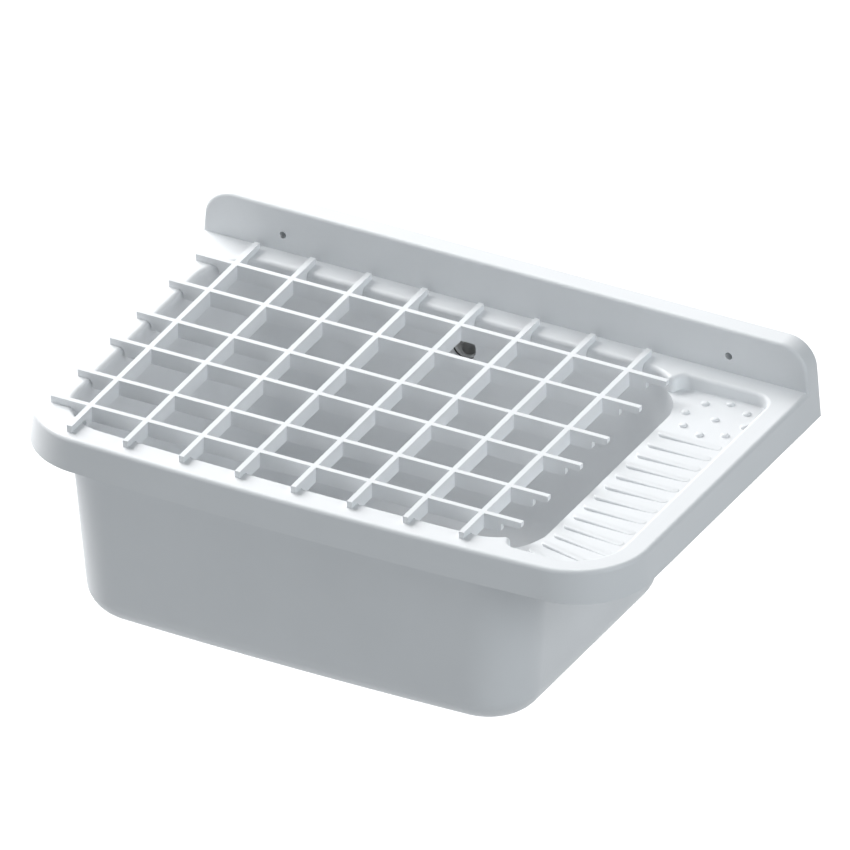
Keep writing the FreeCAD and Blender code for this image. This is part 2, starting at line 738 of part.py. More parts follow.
def build_waste_body():
    """Cup under the drain with a threaded outlet below and the overflow's branch at its side."""
    inner = cup_radius - cup_wall
    bore = outlet_thread_radius - outlet_wall
    outlet_foot_z = outlet_top_z - outlet_length
    wide = flange_radius + seal_clearance + seal_thickness
    outer = [(wide, body_top_z), (wide, body_top_z - body_flange), (cup_radius, body_top_z - body_flange)]
    outer += [(cup_radius, cup_bottom_z), (outlet_thread_radius + outlet_wall / 2, outlet_top_z)]
    outer += [(outlet_thread_radius, outlet_top_z), (outlet_thread_radius, outlet_foot_z)]
    hollow = [(bore, outlet_foot_z), (bore, outlet_top_z), (inner, cup_bottom_z), (inner, body_top_z)]
    cup = revolved(outer + hollow)
    branch = rod(elbow_radius, branch_reach, drain_point(branch_z), rearward)
    mouth_start = drain_point(branch_z) + Vector(0, branch_reach - socket_length, 0)
    branch = branch.fuse(rod(socket_radius, socket_length, mouth_start, rearward))
    branch = branch.cut(rod(inner + cup_wall / 2, 2 * cup_depth, drain_point(cup_bottom_z - neck_height)))
    body = cup.fuse(branch)
    body = body.cut(rod(elbow_radius - elbow_wall, branch_reach, drain_point(branch_z), rearward))
    socket = rod(hose_valley_radius + socket_gap, hose_insertion + fit_gap,
                 drain_point(branch_z) + Vector(0, branch_reach - hose_insertion - fit_gap, 0), rearward)
    body = body.cut(socket)
    # hub on two crossed spokes, which holds the insert for the screw
    hub_top = cup_bottom_z + spoke_height
    reach = inner + cup_wall / 2
    spokes = [box(-reach, reach, -spoke_width / 2, spoke_width / 2, 0, spoke_height)]
    spokes.append(box(-spoke_width / 2, spoke_width / 2, -reach, reach, 0, spoke_height))
    for spoke in spokes:
        spoke.rotate(Vector(0, 0, 0), Vector(0, 0, 1), 45)
        spoke.translate(drain_point(cup_bottom_z))
    body = body.fuse(spokes + [rod(hub_radius, spoke_height, drain_point(cup_bottom_z))])
    pocket_foot = hub_top - spoke_height / 2 - fit_gap
    body = body.cut(rod(insert_radius + fit_gap, spoke_height / 2 + fit_gap, drain_point(pocket_foot)))
    screw_hole = rod(screw_radius + fit_gap, spoke_height * 2, drain_point(cup_bottom_z - spoke_height / 2))
    return body.cut(screw_hole)


def build_screw_insert():
    """Brass nut moulded into the hub."""
    top = cup_bottom_z + spoke_height
    return tube(insert_radius, screw_radius + fit_gap, spoke_height / 2, drain_point(top - spoke_height / 2))


def build_waste_screw():
    """Slotted screw that clamps strainer, floor and body together."""
    head_foot = strainer_z + flange_sheet
    tip = cup_bottom_z + spoke_height / 4
    shank = rod(screw_radius, head_foot - tip, drain_point(tip))
    head = rod(screw_head_radius, screw_head_height, drain_point(head_foot))
    top = [edge for edge in head.Edges if edge.BoundBox.ZMin > head_foot + screw_head_height - same]
    head = head.makeChamfer(screw_head_height / 3, top)
    half_slot = screw_slot_width / 2
    slot = box(-screw_head_radius, screw_head_radius, -half_slot, half_slot, 0, screw_head_height)
    slot.translate(drain_point(head_foot + screw_head_height / 2))
    return shank.fuse(head).cut(slot).removeSplitter()


def build_drain_plug():
    """Rubber plug with a finger knob. It lies on the strainer's lip."""
    cap_foot = seat_z + fit_gap
    taper = (flange_bowl_radius - flange_foot_radius) / (flange_bowl_depth - flange_sheet)
    neck = flange_bowl_radius - plug_clearance
    foot = neck - plug_depth * taper
    cap_top = cap_foot + plug_cap_height
    stem = plug_knob_radius - plug_taper
    profile = [(0, cap_foot - plug_depth), (foot, cap_foot - plug_depth), (neck, cap_foot)]
    profile += [(plug_cap_radius, cap_foot), (plug_cap_radius - plug_taper / 2, cap_top)]
    profile += [(stem, cap_top), (stem, cap_top + plug_knob_height / 2)]
    profile += [(plug_knob_radius, cap_top + plug_knob_height - plug_taper)]
    profile += [(plug_knob_radius - plug_taper, cap_top + plug_knob_height), (0, cap_top + plug_knob_height)]
    return revolved(profile)


# ---------------------------------------------------------------- overflow

body_axis_y = pad_face + gasket_thickness + elbow_radius     # elbow's upright axis from the bowl


def build_overflow_gasket():
    gasket = overflow_plate(pad_face, gasket_thickness)
    gasket = gasket.cut(rod(overflow_radius, gasket_thickness, overflow_point(y=pad_face), rearward))
    for side in ear_sides():
        start = overflow_point(x=side, y=pad_face)
        gasket = gasket.cut(rod(elbow_screw_radius + seal_clearance, gasket_thickness, start, rearward))
    return tilt_to_rear_wall(gasket)


def build_overflow_elbow():
    """Elbow behind the rear wall: an eared flange, a capped upright body and a socket below."""
    foot = pad_face + gasket_thickness
    down = Vector(0, 0, -1)
    top = overflow_point(y=body_axis_y, z=overflow_radius)
    elbow = overflow_plate(foot, elbow_flange)
    elbow = elbow.fuse(rod(overflow_radius, body_axis_y - foot, overflow_point(y=foot), rearward))
    body = rod(elbow_radius, overflow_radius + elbow_drop, top, down)
    cap = [edge for edge in body.Edges if edge.BoundBox.ZMin > top.z - same]
    body = body.makeChamfer(elbow_radius / 4, cap)
    mouth = overflow_point(y=body_axis_y, z=-elbow_drop + socket_length)
    elbow = elbow.fuse([body, rod(socket_radius, socket_length, mouth, down)])
    bore = elbow_radius - elbow_wall
    bore_length = overflow_radius - elbow_wall + elbow_drop
    elbow = elbow.cut(rod(bore, bore_length, top - Vector(0, 0, elbow_wall), down))
    elbow = elbow.cut(rod(overflow_radius - elbow_wall, body_axis_y - foot, overflow_point(y=foot), rearward))
    socket_top = overflow_point(y=body_axis_y, z=-elbow_drop + hose_insertion + fit_gap)
    elbow = elbow.cut(rod(hose_valley_radius + socket_gap, hose_insertion + fit_gap, socket_top, down))
    for side in ear_sides():
        hole = rod(elbow_screw_radius + fit_gap, elbow_flange, overflow_point(x=side, y=foot), rearward)
        elbow = elbow.cut(hole)
    return tilt_to_rear_wall(elbow)


def build_elbow_screws():
    """Two small screws through the elbow's ears into the pad behind the rear wall."""
    screws = []
    head_foot = pad_face + gasket_thickness + elbow_flange
    for side in ear_sides():
        start = overflow_point(x=side, y=head_foot - elbow_screw_length)
        shank = rod(elbow_screw_radius, elbow_screw_length, start, rearward)
        half_head = elbow_screw_head_radius / 2
        seat = overflow_point(x=side, y=head_foot)
        head = Part.makeCone(elbow_screw_head_radius, half_head, half_head, seat, rearward)
        screws.append(tilt_to_rear_wall(shank.fuse(head).removeSplitter()))
    return Part.makeCompound(screws)


# the hose leaves the elbow along the leaning wall, bends and enters the branch level
hose_down = Vector(0, -math.sin(bowl_draft), -math.cos(bowl_draft))
hose_in = Vector(0, -1, 0)


def elbow_mouth():
    """Centre of the elbow's lower mouth, after the tilt."""
    across = body_axis_y
    down = elbow_drop
    y = overflow_y + across * math.cos(bowl_draft) - down * math.sin(bowl_draft)
    z = overflow_z - across * math.sin(bowl_draft) - down * math.cos(bowl_draft)
    return Vector(drain_x, y, z)


def branch_mouth():
    return drain_point(branch_z) + Vector(0, branch_reach, 0)


def hose_route():
    """Straight, bend, straight: lengths and the points between them."""
    start = elbow_mouth() - hose_down * hose_insertion
    end = branch_mouth() + hose_in * hose_insertion
    along = (start.z - branch_z) / math.cos(bowl_draft)
    corner = start + hose_down * along
    turn = math.pi / 2 - bowl_draft
    tangent = hose_bend_radius * math.tan(turn / 2)
    first = along - tangent
    last = (corner.y - end.y) - tangent
    return start, first, turn, last


def hose_frame(distance):
    """Centre and direction of the hose at a distance from its start."""
    start, first, turn, last = hose_route()
    bend = hose_bend_radius * turn
    if distance <= first:
        return start + hose_down * distance, hose_down
    bend_start = start + hose_down * first
    to_centre = Vector(0, hose_down.z, -hose_down.y)
    centre = bend_start + to_centre * hose_bend_radius
    angle = min(distance - first, bend) / hose_bend_radius
    spoke = Vector(0, -to_centre.y, -to_centre.z) * math.cos(angle) + hose_down * math.sin(angle)
    place = centre + spoke * hose_bend_radius
    heading = hose_down * math.cos(angle) + to_centre * math.sin(angle)
    if distance > first + bend:
        place = place + heading * (distance - first - bend)
    return place, heading


def hose_circle(distance, radius):
    """A circle square to the hose whose seam always lies on the same side."""
    place, heading = hose_frame(distance)
    axes = FreeCAD.Rotation(Vector(1, 0, 0), heading.cross(Vector(1, 0, 0)), heading, "ZXY")
    circle = Part.Circle(Vector(0, 0, 0), Vector(0, 0, 1), radius).toShape()
    circle.Placement = FreeCAD.Placement(place, axes)
    return Part.Wire(circle)


def hose_length():
    start, first, turn, last = hose_route()
    return first + hose_bend_radius * turn + last


def build_overflow_hose():
    """Ribbed hose with plain ends: a ruled skin through circles, with a smooth bore."""
    length = hose_length()
    plain = hose_insertion + union_seal_height + nut_lip + fit_gap + hose_rib_pitch / 2
    count = int((length - 2 * plain) / hose_rib_pitch)
    pitch = (length - 2 * plain) / count
    rings = [hose_circle(0.0, hose_valley_radius)]
    for number in range(count):
        foot = plain + number * pitch
        rings.append(hose_circle(foot + pitch * 0.15, hose_valley_radius))
        rings.append(hose_circle(foot + pitch * 0.35, hose_radius))
        rings.append(hose_circle(foot + pitch * 0.65, hose_radius))
        rings.append(hose_circle(foot + pitch * 0.85, hose_valley_radius))
    rings.append(hose_circle(length, hose_valley_radius))
    skin = Part.makeLoft(rings, True, True)
    start, first, turn, last = hose_route()
    bore_steps = 12
    stops = [-cut_over, first]
    stops += [first + hose_bend_radius * turn * (step + 1) / bore_steps for step in range(bore_steps)]
    stops.append(length + cut_over)
    bore = Part.makeLoft([hose_circle(stop, hose_bore_radius) for stop in stops], True, True)
    return skin.cut(bore)


def union_seal(mouth, heading):
    outer = socket_radius - fit_gap
    return tube(outer, hose_valley_radius + fit_gap, union_seal_height, mouth, heading)


def union_nut(mouth, heading):
    """Nut over the socket's thread, with finger grips and a lip that holds the seal."""
    outer = socket_radius + nut_wall
    foot = mouth - heading * nut_grip
    height = nut_grip + union_seal_height + nut_lip
    nut = rod(outer, height, foot, heading)
    side = heading.cross(Vector(1, 0, 0)).normalize()
    grips = []
    for number in range(12):
        turn = 2 * math.pi * number / 12
        around = Vector(1, 0, 0) * math.cos(turn) + side * math.sin(turn)
        grips.append(rod(nut_wall / 2, height, foot + around * (outer + nut_wall / 4), heading))
    nut = nut.cut(grips)
    nut = nut.cut(rod(socket_radius + fit_gap, nut_grip + union_seal_height, foot, heading))
    return nut.cut(rod(hose_valley_radius + socket_gap, height, foot, heading))


# ---------------------------------------------------------------- write every piece

nodes = {
    "basin": build_basin(),
    "grate": build_grate(),
    "drain_plug": build_drain_plug(),
    "strainer_flange": build_strainer_flange(),
    "flange_seal": build_flange_seal(),
    "underside_seal": build_underside_seal(),
    "waste_body": build_waste_body(),
    "screw_insert": build_screw_insert(),
    "waste_screw": build_waste_screw(),
    "overflow_gasket": build_overflow_gasket(),
    "overflow_elbow": build_overflow_elbow(),
    "elbow_screws": build_elbow_screws(),
    "overflow_hose": build_overflow_hose(),
    "upper_hose_seal": union_seal(elbow_mouth(), hose_down),
    "upper_hose_nut": union_nut(elbow_mouth(), hose_down),
    "lower_hose_seal": union_seal(branch_mouth(), -hose_in),
    "lower_hose_nut": union_nut(branch_mouth(), -hose_in),
}

os.makedirs("parts", exist_ok=True)
for name, shape in nodes.items():
    shape.exportStep(f"parts/{name}.step")
    print(name, len(shape.Solids), "solid", "valid" if shape.isValid() else "NOT VALID")
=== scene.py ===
"""Looks of the wall-hung mop service sink: a white moulded basin with a washboard, a bucket grate
and the waste and overflow fittings under it, on a pale floor in soft light.

Metres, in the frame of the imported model: the wall is the plane y = 0 and the bowl faces -y.
"""

import json
import math

import bmesh
import bpy
from mathutils import Matrix, Vector


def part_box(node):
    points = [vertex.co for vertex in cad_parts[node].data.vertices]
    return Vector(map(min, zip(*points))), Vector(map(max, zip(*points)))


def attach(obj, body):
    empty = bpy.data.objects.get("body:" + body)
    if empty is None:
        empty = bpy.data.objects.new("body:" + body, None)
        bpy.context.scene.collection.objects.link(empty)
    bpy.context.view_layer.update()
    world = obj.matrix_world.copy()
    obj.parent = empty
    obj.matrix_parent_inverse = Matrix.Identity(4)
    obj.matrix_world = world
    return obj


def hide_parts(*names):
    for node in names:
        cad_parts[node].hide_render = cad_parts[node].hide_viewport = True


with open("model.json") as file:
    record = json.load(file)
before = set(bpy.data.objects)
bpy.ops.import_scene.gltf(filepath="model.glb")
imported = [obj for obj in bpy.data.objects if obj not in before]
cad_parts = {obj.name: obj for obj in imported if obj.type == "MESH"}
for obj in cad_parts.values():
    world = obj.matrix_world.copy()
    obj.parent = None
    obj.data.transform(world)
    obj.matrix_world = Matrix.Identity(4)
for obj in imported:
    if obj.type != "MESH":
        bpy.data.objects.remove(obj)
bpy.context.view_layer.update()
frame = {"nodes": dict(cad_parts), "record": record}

MM = 0.001
overlap = 0.05 * MM                 # pieces that are joined or cut never end in the same plane
cut_over = 6 * MM                   # cutting forms reach this far past what they cut
near = 0.01 * MM                    # heights and lines closer than this count as one
same = 0.001 * MM                   # and so do points closer than this
smooth_angle = math.radians(35)     # shading is smooth across edges that bend less than this
corner_steps = 20                   # segments of a rounded corner seen from above
turned_steps = 96
bow_cuts = 23

# ---------------------------------------------------------------- sizes of the basin
basin_low, basin_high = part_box("basin")
wall_y = basin_high.y
skirt_foot_z = -47.6 * MM
rim_z = -16.1 * MM
skirt_draft = math.radians(4.5)
skirt_wall = 3 * MM
sheet = 4 * MM                      # wall of the moulding
front_corner_radius = 70 * MM
front_bow_radius = 4900 * MM        # the front bows out in plan
rim_edge_radius = 4 * MM
half_foot = basin_high.x
foot_front_y = basin_low.y
upstand_face_y = -18.7 * MM
upstand_top_z = basin_high.z
upstand_corner_radius = 25 * MM
upstand_edge_radius = 3.5 * MM
screw_x = 219 * MM
screw_hole_radius = 3.5 * MM
screw_cut_length = 100 * MM
screw_boss_radius = 7 * MM
web_pitch = 73 * MM
web_thickness = 3 * MM
webs_each_side = 3

bowl_left_x = -266.3 * MM
bowl_right_x = 197.7 * MM
bowl_rear_y = -40.4 * MM
bowl_front_y = -364.1 * MM
bowl_floor_z = -214.6 * MM
floor_fall = 4 * MM                 # the floor dips this much to the drain
funnel_radius = 122 * MM
bowl_draft = math.radians(5)
bowl_front_draft = math.radians(3.2)
bowl_corner_radius = 50 * MM
bowl_foot_radius = 22 * MM
opening_edge_radius = 4 * MM
opening_margin = 5 * MM             # edges of the opening lie within this around its outline

tray_left_x = 182.2 * MM
tray_right_x = 274.3 * MM
tray_rear_y = -39.0 * MM
tray_front_y = -365.5 * MM
tray_lip_depth = 14.1 * MM
lip_floor_z = rim_z - tray_lip_depth
tray_slope = math.atan(2.0 / 76.6)
tray_floor_band = 5 * MM            # the sloping floor rises less than this
tray_corner_radii = (10 * MM, 48 * MM, 18 * MM, 10 * MM)
tray_floor_edge = 1.2 * MM
lip_edge = 1.0 * MM
lip_band = 1 * MM                   # edges within this of the lip's line are the lip's
tip_angle = math.radians(30)        # and edges that bend more than this are sharp ones

nose_radius = 5 * MM
nose_steps = 10
nose_bite = 0.15 * MM               # the nose's rounding starts this far inside the hollows
nose_merge = 0.12 * MM              # points beside the noses that are closer than this become one
nose_zone = (12 * MM, 8 * MM)       # they lie this far to the left and right of the tray's edge
wedge_width = 4 * MM                # the wedge that cuts a nose, from where the nose meets the tray
wedge_depth = 11 * MM
wedge_tip_width = 1 * MM            # and from where it meets the bowl
wedge_tip_depth = 7.5 * MM

rib_count = 13
last_rib_x = 196.3 * MM             # the last rib starts clear of the front nose
rib_pitch = 20 * MM
rib_length = 62.2 * MM
rib_width = 9 * MM
rib_height = 3 * MM                 # their tops stand this high over the floor at the lip
rib_run_out = 0.9 * MM              # and dip this much towards their far ends
rib_edge = 1.3 * MM
rib_start = 5.3 * MM
first_rib = 79.5 * MM
rib_fan_from = 5
rib_fan_angle = math.radians(0.38)
rib_fan_crowding = 0.28 * MM
nub_radius = 3.7 * MM
nub_height = 2.4 * MM
nub_dome = 0.9 * nub_height
nub_ring_count = 8
nub_ring_radius = 29 * MM
nub_centre = (38.5 * MM, 37.5 * MM)  # from the lip and from the tray's rear edge

# ---------------------------------------------------------------- sizes of the grate
grate_low, grate_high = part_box("grate")
grate_top_z = grate_high.z
grate_foot_z = grate_low.z
bar = 5 * MM
cross_bar_count = 8
cross_bar_pitch = 55 * MM
first_cross_bar = 26 * MM
row_steps = (50 * MM, 60 * MM, 50 * MM, 60 * MM, 50 * MM)
first_row = 25 * MM
left_arm = 12 * MM                  # how far the arms reach over the rim
rear_arm = 15 * MM
front_arm = 11.5 * MM
arm_gap = 1.2 * MM
notch_radius = 5.5 * MM
free_roots = (19.3 * MM, 19.3 * MM, 24.3 * MM, 24.3 * MM, 24.3 * MM, 19.3 * MM)
free_tip = 39 * MM
free_radius = 3 * MM
bar_edge = 0.8 * MM
bar_edge_angle = math.radians(50)

# ---------------------------------------------------------------- waste and overflow
strainer_low, strainer_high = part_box("strainer_flange")
drain = Vector(((strainer_low.x + strainer_high.x) / 2, (strainer_low.y + strainer_high.y) / 2, 0))
seat_z = strainer_high.z
flange_radius = (strainer_high.x - strainer_low.x) / 2
drain_radius = 26 * MM
seat_radius = 39.5 * MM
seat_foot_z = seat_z - 6.7 * MM
recess_z = seat_z - 2.7 * MM
recess_clearance = 0.5 * MM
overflow_z = -47.9 * MM
overflow_y = -43.2 * MM
overflow_radius = 13.5 * MM
overflow_cut_length = 30 * MM
pad_reach = 7 * MM                  # the pad behind the overflow hole, from the wall's inner face
pad_radius = 19 * MM
ear_radius = 7 * MM
ear_spacing = 22 * MM

hose_start = Vector((drain.x, -25.87 * MM, -79.53 * MM))
hose_end = Vector((drain.x, -164.4 * MM, -246.8 * MM))
hose_drop = 111.1 * MM              # straight down the leaning rear wall
hose_run = 67.1 * MM                # straight and level into the waste
hose_bend_radius = 62 * MM
hose_valley_radius = 10 * MM
hose_rib_radius = 11.45 * MM
hose_rib_count = 23
hose_rib_steps = (1.5 * MM, 2 * MM, 3 * MM, 2 * MM, 1.5 * MM)
hose_rib_edge = 0.6 * MM
hose_plain_end = 20.05 * MM
hose_wall = 1.7 * MM

# ---------------------------------------------------------------- light, floor and camera
cool_white = (0.91, 0.965, 1.0)
plain_white = (1, 1, 1)
floor_glow = 0.90                   # the camera and reflections see it: white behind the sink
sky_level = 0.08                    # what the room's walls add to the lamps
floor_side = 12                     # metres, like all places and sizes here
floor_z = -0.75
lamp_target = (0, -0.2, -0.1)
camera_azimuth = math.radians(27.81)
camera_elevation = math.radians(30.97)
camera_distance = 2.5
view_width = 738.4 * MM
view_centre = Vector((32.5 * MM, -230.3 * MM, grate_top_z))


# ---------------------------------------------------------------- modelling helpers

def deselect():
    bpy.ops.object.select_all(action="DESELECT")


def focus(piece):
    """Makes one piece the only selected and the active one."""
    deselect()
    piece.select_set(True)
    bpy.context.view_layer.objects.active = piece


def edit(piece):
    focus(piece)
    bpy.ops.object.mode_set(mode="EDIT")


def leave_edit():
    bpy.ops.object.mode_set(mode="OBJECT")


def pick(piece, kind, wanted):
    """In edit mode, selects the vertices, edges or faces that pass a test, and no others."""
    bpy.ops.mesh.select_mode(type=kind)
    bpy.ops.mesh.select_all(action="DESELECT")
    mesh = bmesh.from_edit_mesh(piece.data)
    for part in {"VERT": mesh.verts, "EDGE": mesh.edges, "FACE": mesh.faces}[kind]:
        if wanted(part):
            part.select_set(True)
    bmesh.update_edit_mesh(piece.data)


def draw_out(step):
    """In edit mode, extrudes what is selected by a step."""
    bpy.ops.mesh.extrude_region_move(TRANSFORM_OT_translate={"value": step})


def all_at(height):
    """A test for an edge or face whose vertices all lie at one height."""
    return lambda part: all(abs(vertex.co.z - height) < near for vertex in part.verts)


def middle(part):
    total = Vector()
    for vertex in part.verts:
        total += vertex.co
    return total / len(part.verts)


def settle(piece):
    """Moves the piece's place into its mesh."""
    focus(piece)
    bpy.ops.object.transform_apply(location=True, rotation=True, scale=True)


def face_outwards(piece):
    edit(piece)
    bpy.ops.mesh.select_all(action="SELECT")
    bpy.ops.mesh.normals_make_consistent(inside=False)
    leave_edit()


def combine(piece, tool, operation):
    """Joins a tool to a piece, or cuts it out, and removes the tool."""
    change = piece.modifiers.new("combine", "BOOLEAN")
    change.object = tool
    change.operation = operation
    change.solver = "EXACT"
    focus(piece)
    bpy.ops.object.modifier_apply(modifier=change.name)
    bpy.data.objects.remove(tool)


def apply_all(piece):
    """Applies the piece's modifiers in their order."""
    focus(piece)
    for name in [modifier.name for modifier in piece.modifiers]:
        bpy.ops.object.modifier_apply(modifier=name)


def merge(pieces):
    """Joins pieces into the first one as they are."""
    focus(pieces[0])
    for piece in pieces[1:]:
        piece.select_set(True)
    bpy.ops.object.join()
    return pieces[0]


def copy_of(piece):
    double = piece.copy()
    double.data = piece.data.copy()
    bpy.context.scene.collection.objects.link(double)
    return double


def smooth(piece):
    """Smooth shading up to an angle, with flat faces kept flat."""
    focus(piece)
    bpy.ops.object.shade_smooth_by_angle(angle=smooth_angle)
    even = piece.modifiers.new("even", "WEIGHTED_NORMAL")
    even.keep_sharp = True
    even.weight = 100
    bpy.ops.object.modifier_apply(modifier=even.name)


def block(name, low, high):
    """A box between two corners."""
    low, high = Vector(low), Vector(high)
    bpy.ops.mesh.primitive_cube_add(size=1, location=(low + high) / 2)
    piece = bpy.context.object
    piece.name = name
    piece.scale = high - low
    settle(piece)
    return piece


def round_bar(name, radius, depth, centre, axis=(0, 0, 1), sides=64):
    bpy.ops.mesh.primitive_cylinder_add(vertices=sides, radius=radius, depth=depth)
    piece = bpy.context.object
    piece.name = name
    piece.rotation_mode = "QUATERNION"
    piece.rotation_quaternion = Vector((0, 0, 1)).rotation_difference(Vector(axis))
    piece.location = centre
    settle(piece)
    return piece


def spot_at(name, place):
    """A piece that is a single vertex, to be drawn on by extrude and spin."""
    bpy.ops.mesh.primitive_plane_add(size=1 * MM, location=place)
    piece = bpy.context.object
    piece.name = name
    settle(piece)
    edit(piece)
    bpy.ops.mesh.select_mode(type="VERT")
    bpy.ops.mesh.select_all(action="SELECT")
    bpy.ops.mesh.merge(type="CENTER")
    leave_edit()
    return piece


def turned(name, profile, centre):
    """A solid of revolution about an upright axis, spun from (radius, height) points."""
    piece = spot_at(name, (centre.x + profile[0][0], centre.y, profile[0][1]))
    edit(piece)
    bpy.ops.mesh.select_all(action="SELECT")
    for (radius, height), (further, next_height) in zip(profile, profile[1:]):
        draw_out((further - radius, 0, next_height - height))
    bpy.ops.mesh.select_all(action="SELECT")
    bpy.ops.mesh.spin(steps=turned_steps, angle=math.tau, center=(centre.x, centre.y, 0), axis=(0, 0, 1))
    bpy.ops.mesh.select_all(action="SELECT")
    bpy.ops.mesh.remove_doubles(threshold=same)
    leave_edit()
    face_outwards(piece)
    return piece


def bow(x):
    """How far the bowed front edge lies behind its middle at x."""
    return front_bow_radius - math.sqrt(front_bow_radius ** 2 - x * x)


def plate(name, left, right, front, rear, height, radii, bowed=True):
    """A level face with rounded corners: front left, front right, rear right, rear left."""
    bpy.ops.mesh.primitive_plane_add(size=1, location=((left + right) / 2, (front + rear) / 2, height))
    piece = bpy.context.object
    piece.name = name
    piece.scale = (right - left, rear - front, 1)
    settle(piece)
    corners = [(left, front), (right, front), (right, rear), (left, rear)]
    edit(piece)
    for (x, y), radius in zip(corners, radii):
        if radius:
            pick(piece, "VERT", lambda v: abs(v.co.x - x) < same and abs(v.co.y - y) < same)
            bpy.ops.mesh.bevel(offset=radius, segments=corner_steps, affect="VERTICES", clamp_overlap=False)
    if bowed:
        pick(piece, "EDGE", lambda e: all(abs(v.co.y - front) < same for v in e.verts))
        bpy.ops.mesh.subdivide(number_cuts=bow_cuts)
        mesh = bmesh.from_edit_mesh(piece.data)
        half_way = (front + rear) / 2
        for vertex in mesh.verts:
            if vertex.co.y < half_way:
                vertex.co.y += bow(min(max(vertex.co.x, left + radii[0]), right - radii[1]))
        bmesh.update_edit_mesh(piece.data)
    leave_edit()
    return piece


def sink(piece, depth, grow_x, grow_y, centre):
    """Pulls a plate down into a block whose lower face is scaled about a centre."""
    edit(piece)
    bpy.ops.mesh.select_all(action="SELECT")
    draw_out((0, 0, -depth))
    bpy.ops.transform.resize(value=(grow_x, grow_y, 1), center_override=centre)
    leave_edit()
    face_outwards(piece)
    return piece


def soften(piece, radius, wanted, steps=5):
    """Rounds the edges that pass a test."""
    edit(piece)
    pick(piece, "EDGE", wanted)
    bpy.ops.mesh.bevel(offset=radius, segments=steps, affect="EDGES", clamp_overlap=False)
    leave_edit()


# ---------------------------------------------------------------- basin

def half_width(height, inset):
    """Half the outer width of skirt and upstand at a height."""
    return half_foot - (height - skirt_foot_z) * math.tan(skirt_draft) - inset


def front_y(height, inset):
    return foot_front_y + (height - skirt_foot_z) * math.tan(skirt_draft) + inset


def skirt_block(name, top, foot, inset, back):
    radius = front_corner_radius - inset
    half = half_width(top, inset)
    front = front_y(top, inset)
    piece = plate(name, -half, half, front, back, top, (radius, radius, 0, 0))
    grow_x = half_width(foot, inset) / half
    grow_y = (front_y(foot, inset) - back) / (front - back)
    return sink(piece, top - foot, grow_x, grow_y, (0, back, foot))


def upstand_block(name, inset, face, foot, back, proud=0.0):
    """The upstand's slab. Its ends stand proud of the skirt's by a hair where the two are joined."""
    top = upstand_top_z - inset
    radius = upstand_corner_radius - inset
    half = half_width(foot, inset) + proud
    piece = block(name, (-half, face, foot), (half, back, top))
    edit(piece)
    pick(piece, "FACE", all_at(top))
    grow_x = (half_width(top, inset) + proud) / half
    bpy.ops.transform.resize(value=(grow_x, 1, 1), center_override=(0, 0, top))
    leave_edit()

    def top_corner(edge):
        first, second = (v.co.x for v in edge.verts)
        return all_at(top)(edge) and abs(first - second) < same
    soften(piece, radius, top_corner, steps=12)
    return piece


def bowl_wall(height, side):
    """Where the bowl's inner wall stands at a height. The front wall is steeper than the others."""
    drop = rim_z - height
    return {
        "left": bowl_left_x + drop * math.tan(bowl_draft),
        "right": bowl_right_x - drop * math.tan(bowl_draft),
        "rear": bowl_rear_y - drop * math.tan(bowl_draft),
        "front": bowl_front_y + drop * math.tan(bowl_front_draft),
    }[side]


def bowl_block(name, grow, top, foot):
    """The bowl's inside grown outwards, with its foot rounded."""
    left, right = bowl_wall(top, "left") - grow, bowl_wall(top, "right") + grow
    front, rear = bowl_wall(top, "front") - grow, bowl_wall(top, "rear") + grow
    radius = bowl_corner_radius + grow
    piece = plate(name, left, right, front, rear, top, (radius,) * 4)
    grow_x = 1 - 2 * (bowl_wall(foot, "left") - bowl_wall(top, "left")) / (right - left)
    front_lean = bowl_wall(foot, "front") - bowl_wall(top, "front")
    rear_lean = bowl_wall(top, "rear") - bowl_wall(foot, "rear")
    grow_y = 1 - (front_lean + rear_lean) / (rear - front)
    centre = ((left + right) / 2, front + front_lean / (1 - grow_y), foot)
    sink(piece, top - foot, grow_x, grow_y, centre)
    soften(piece, bowl_foot_radius + grow, all_at(foot), steps=10)
    return piece


def tray_block(name, grow, top):
    """The tray's inside grown outwards, with its floor sloping down towards the bowl."""
    radii = tuple(radius + grow for radius in tray_corner_radii)
    left, right = tray_left_x - grow, tray_right_x + grow
    piece = plate(name, left, right, tray_front_y - grow, tray_rear_y + grow, top, radii, bowed=False)
    foot = lip_floor_z - grow
    sink(piece, top - foot, 1, 1, (0, 0, foot))
    edit(piece)
    pick(piece, "VERT", lambda v: abs(v.co.z - foot) < near)
    mesh = bmesh.from_edit_mesh(piece.data)
    for vertex in mesh.verts:
        if vertex.select:
            vertex.co.z += (vertex.co.x - bowl_right_x) * math.tan(tray_slope)
    bmesh.update_edit_mesh(piece.data)
    leave_edit()
    return piece


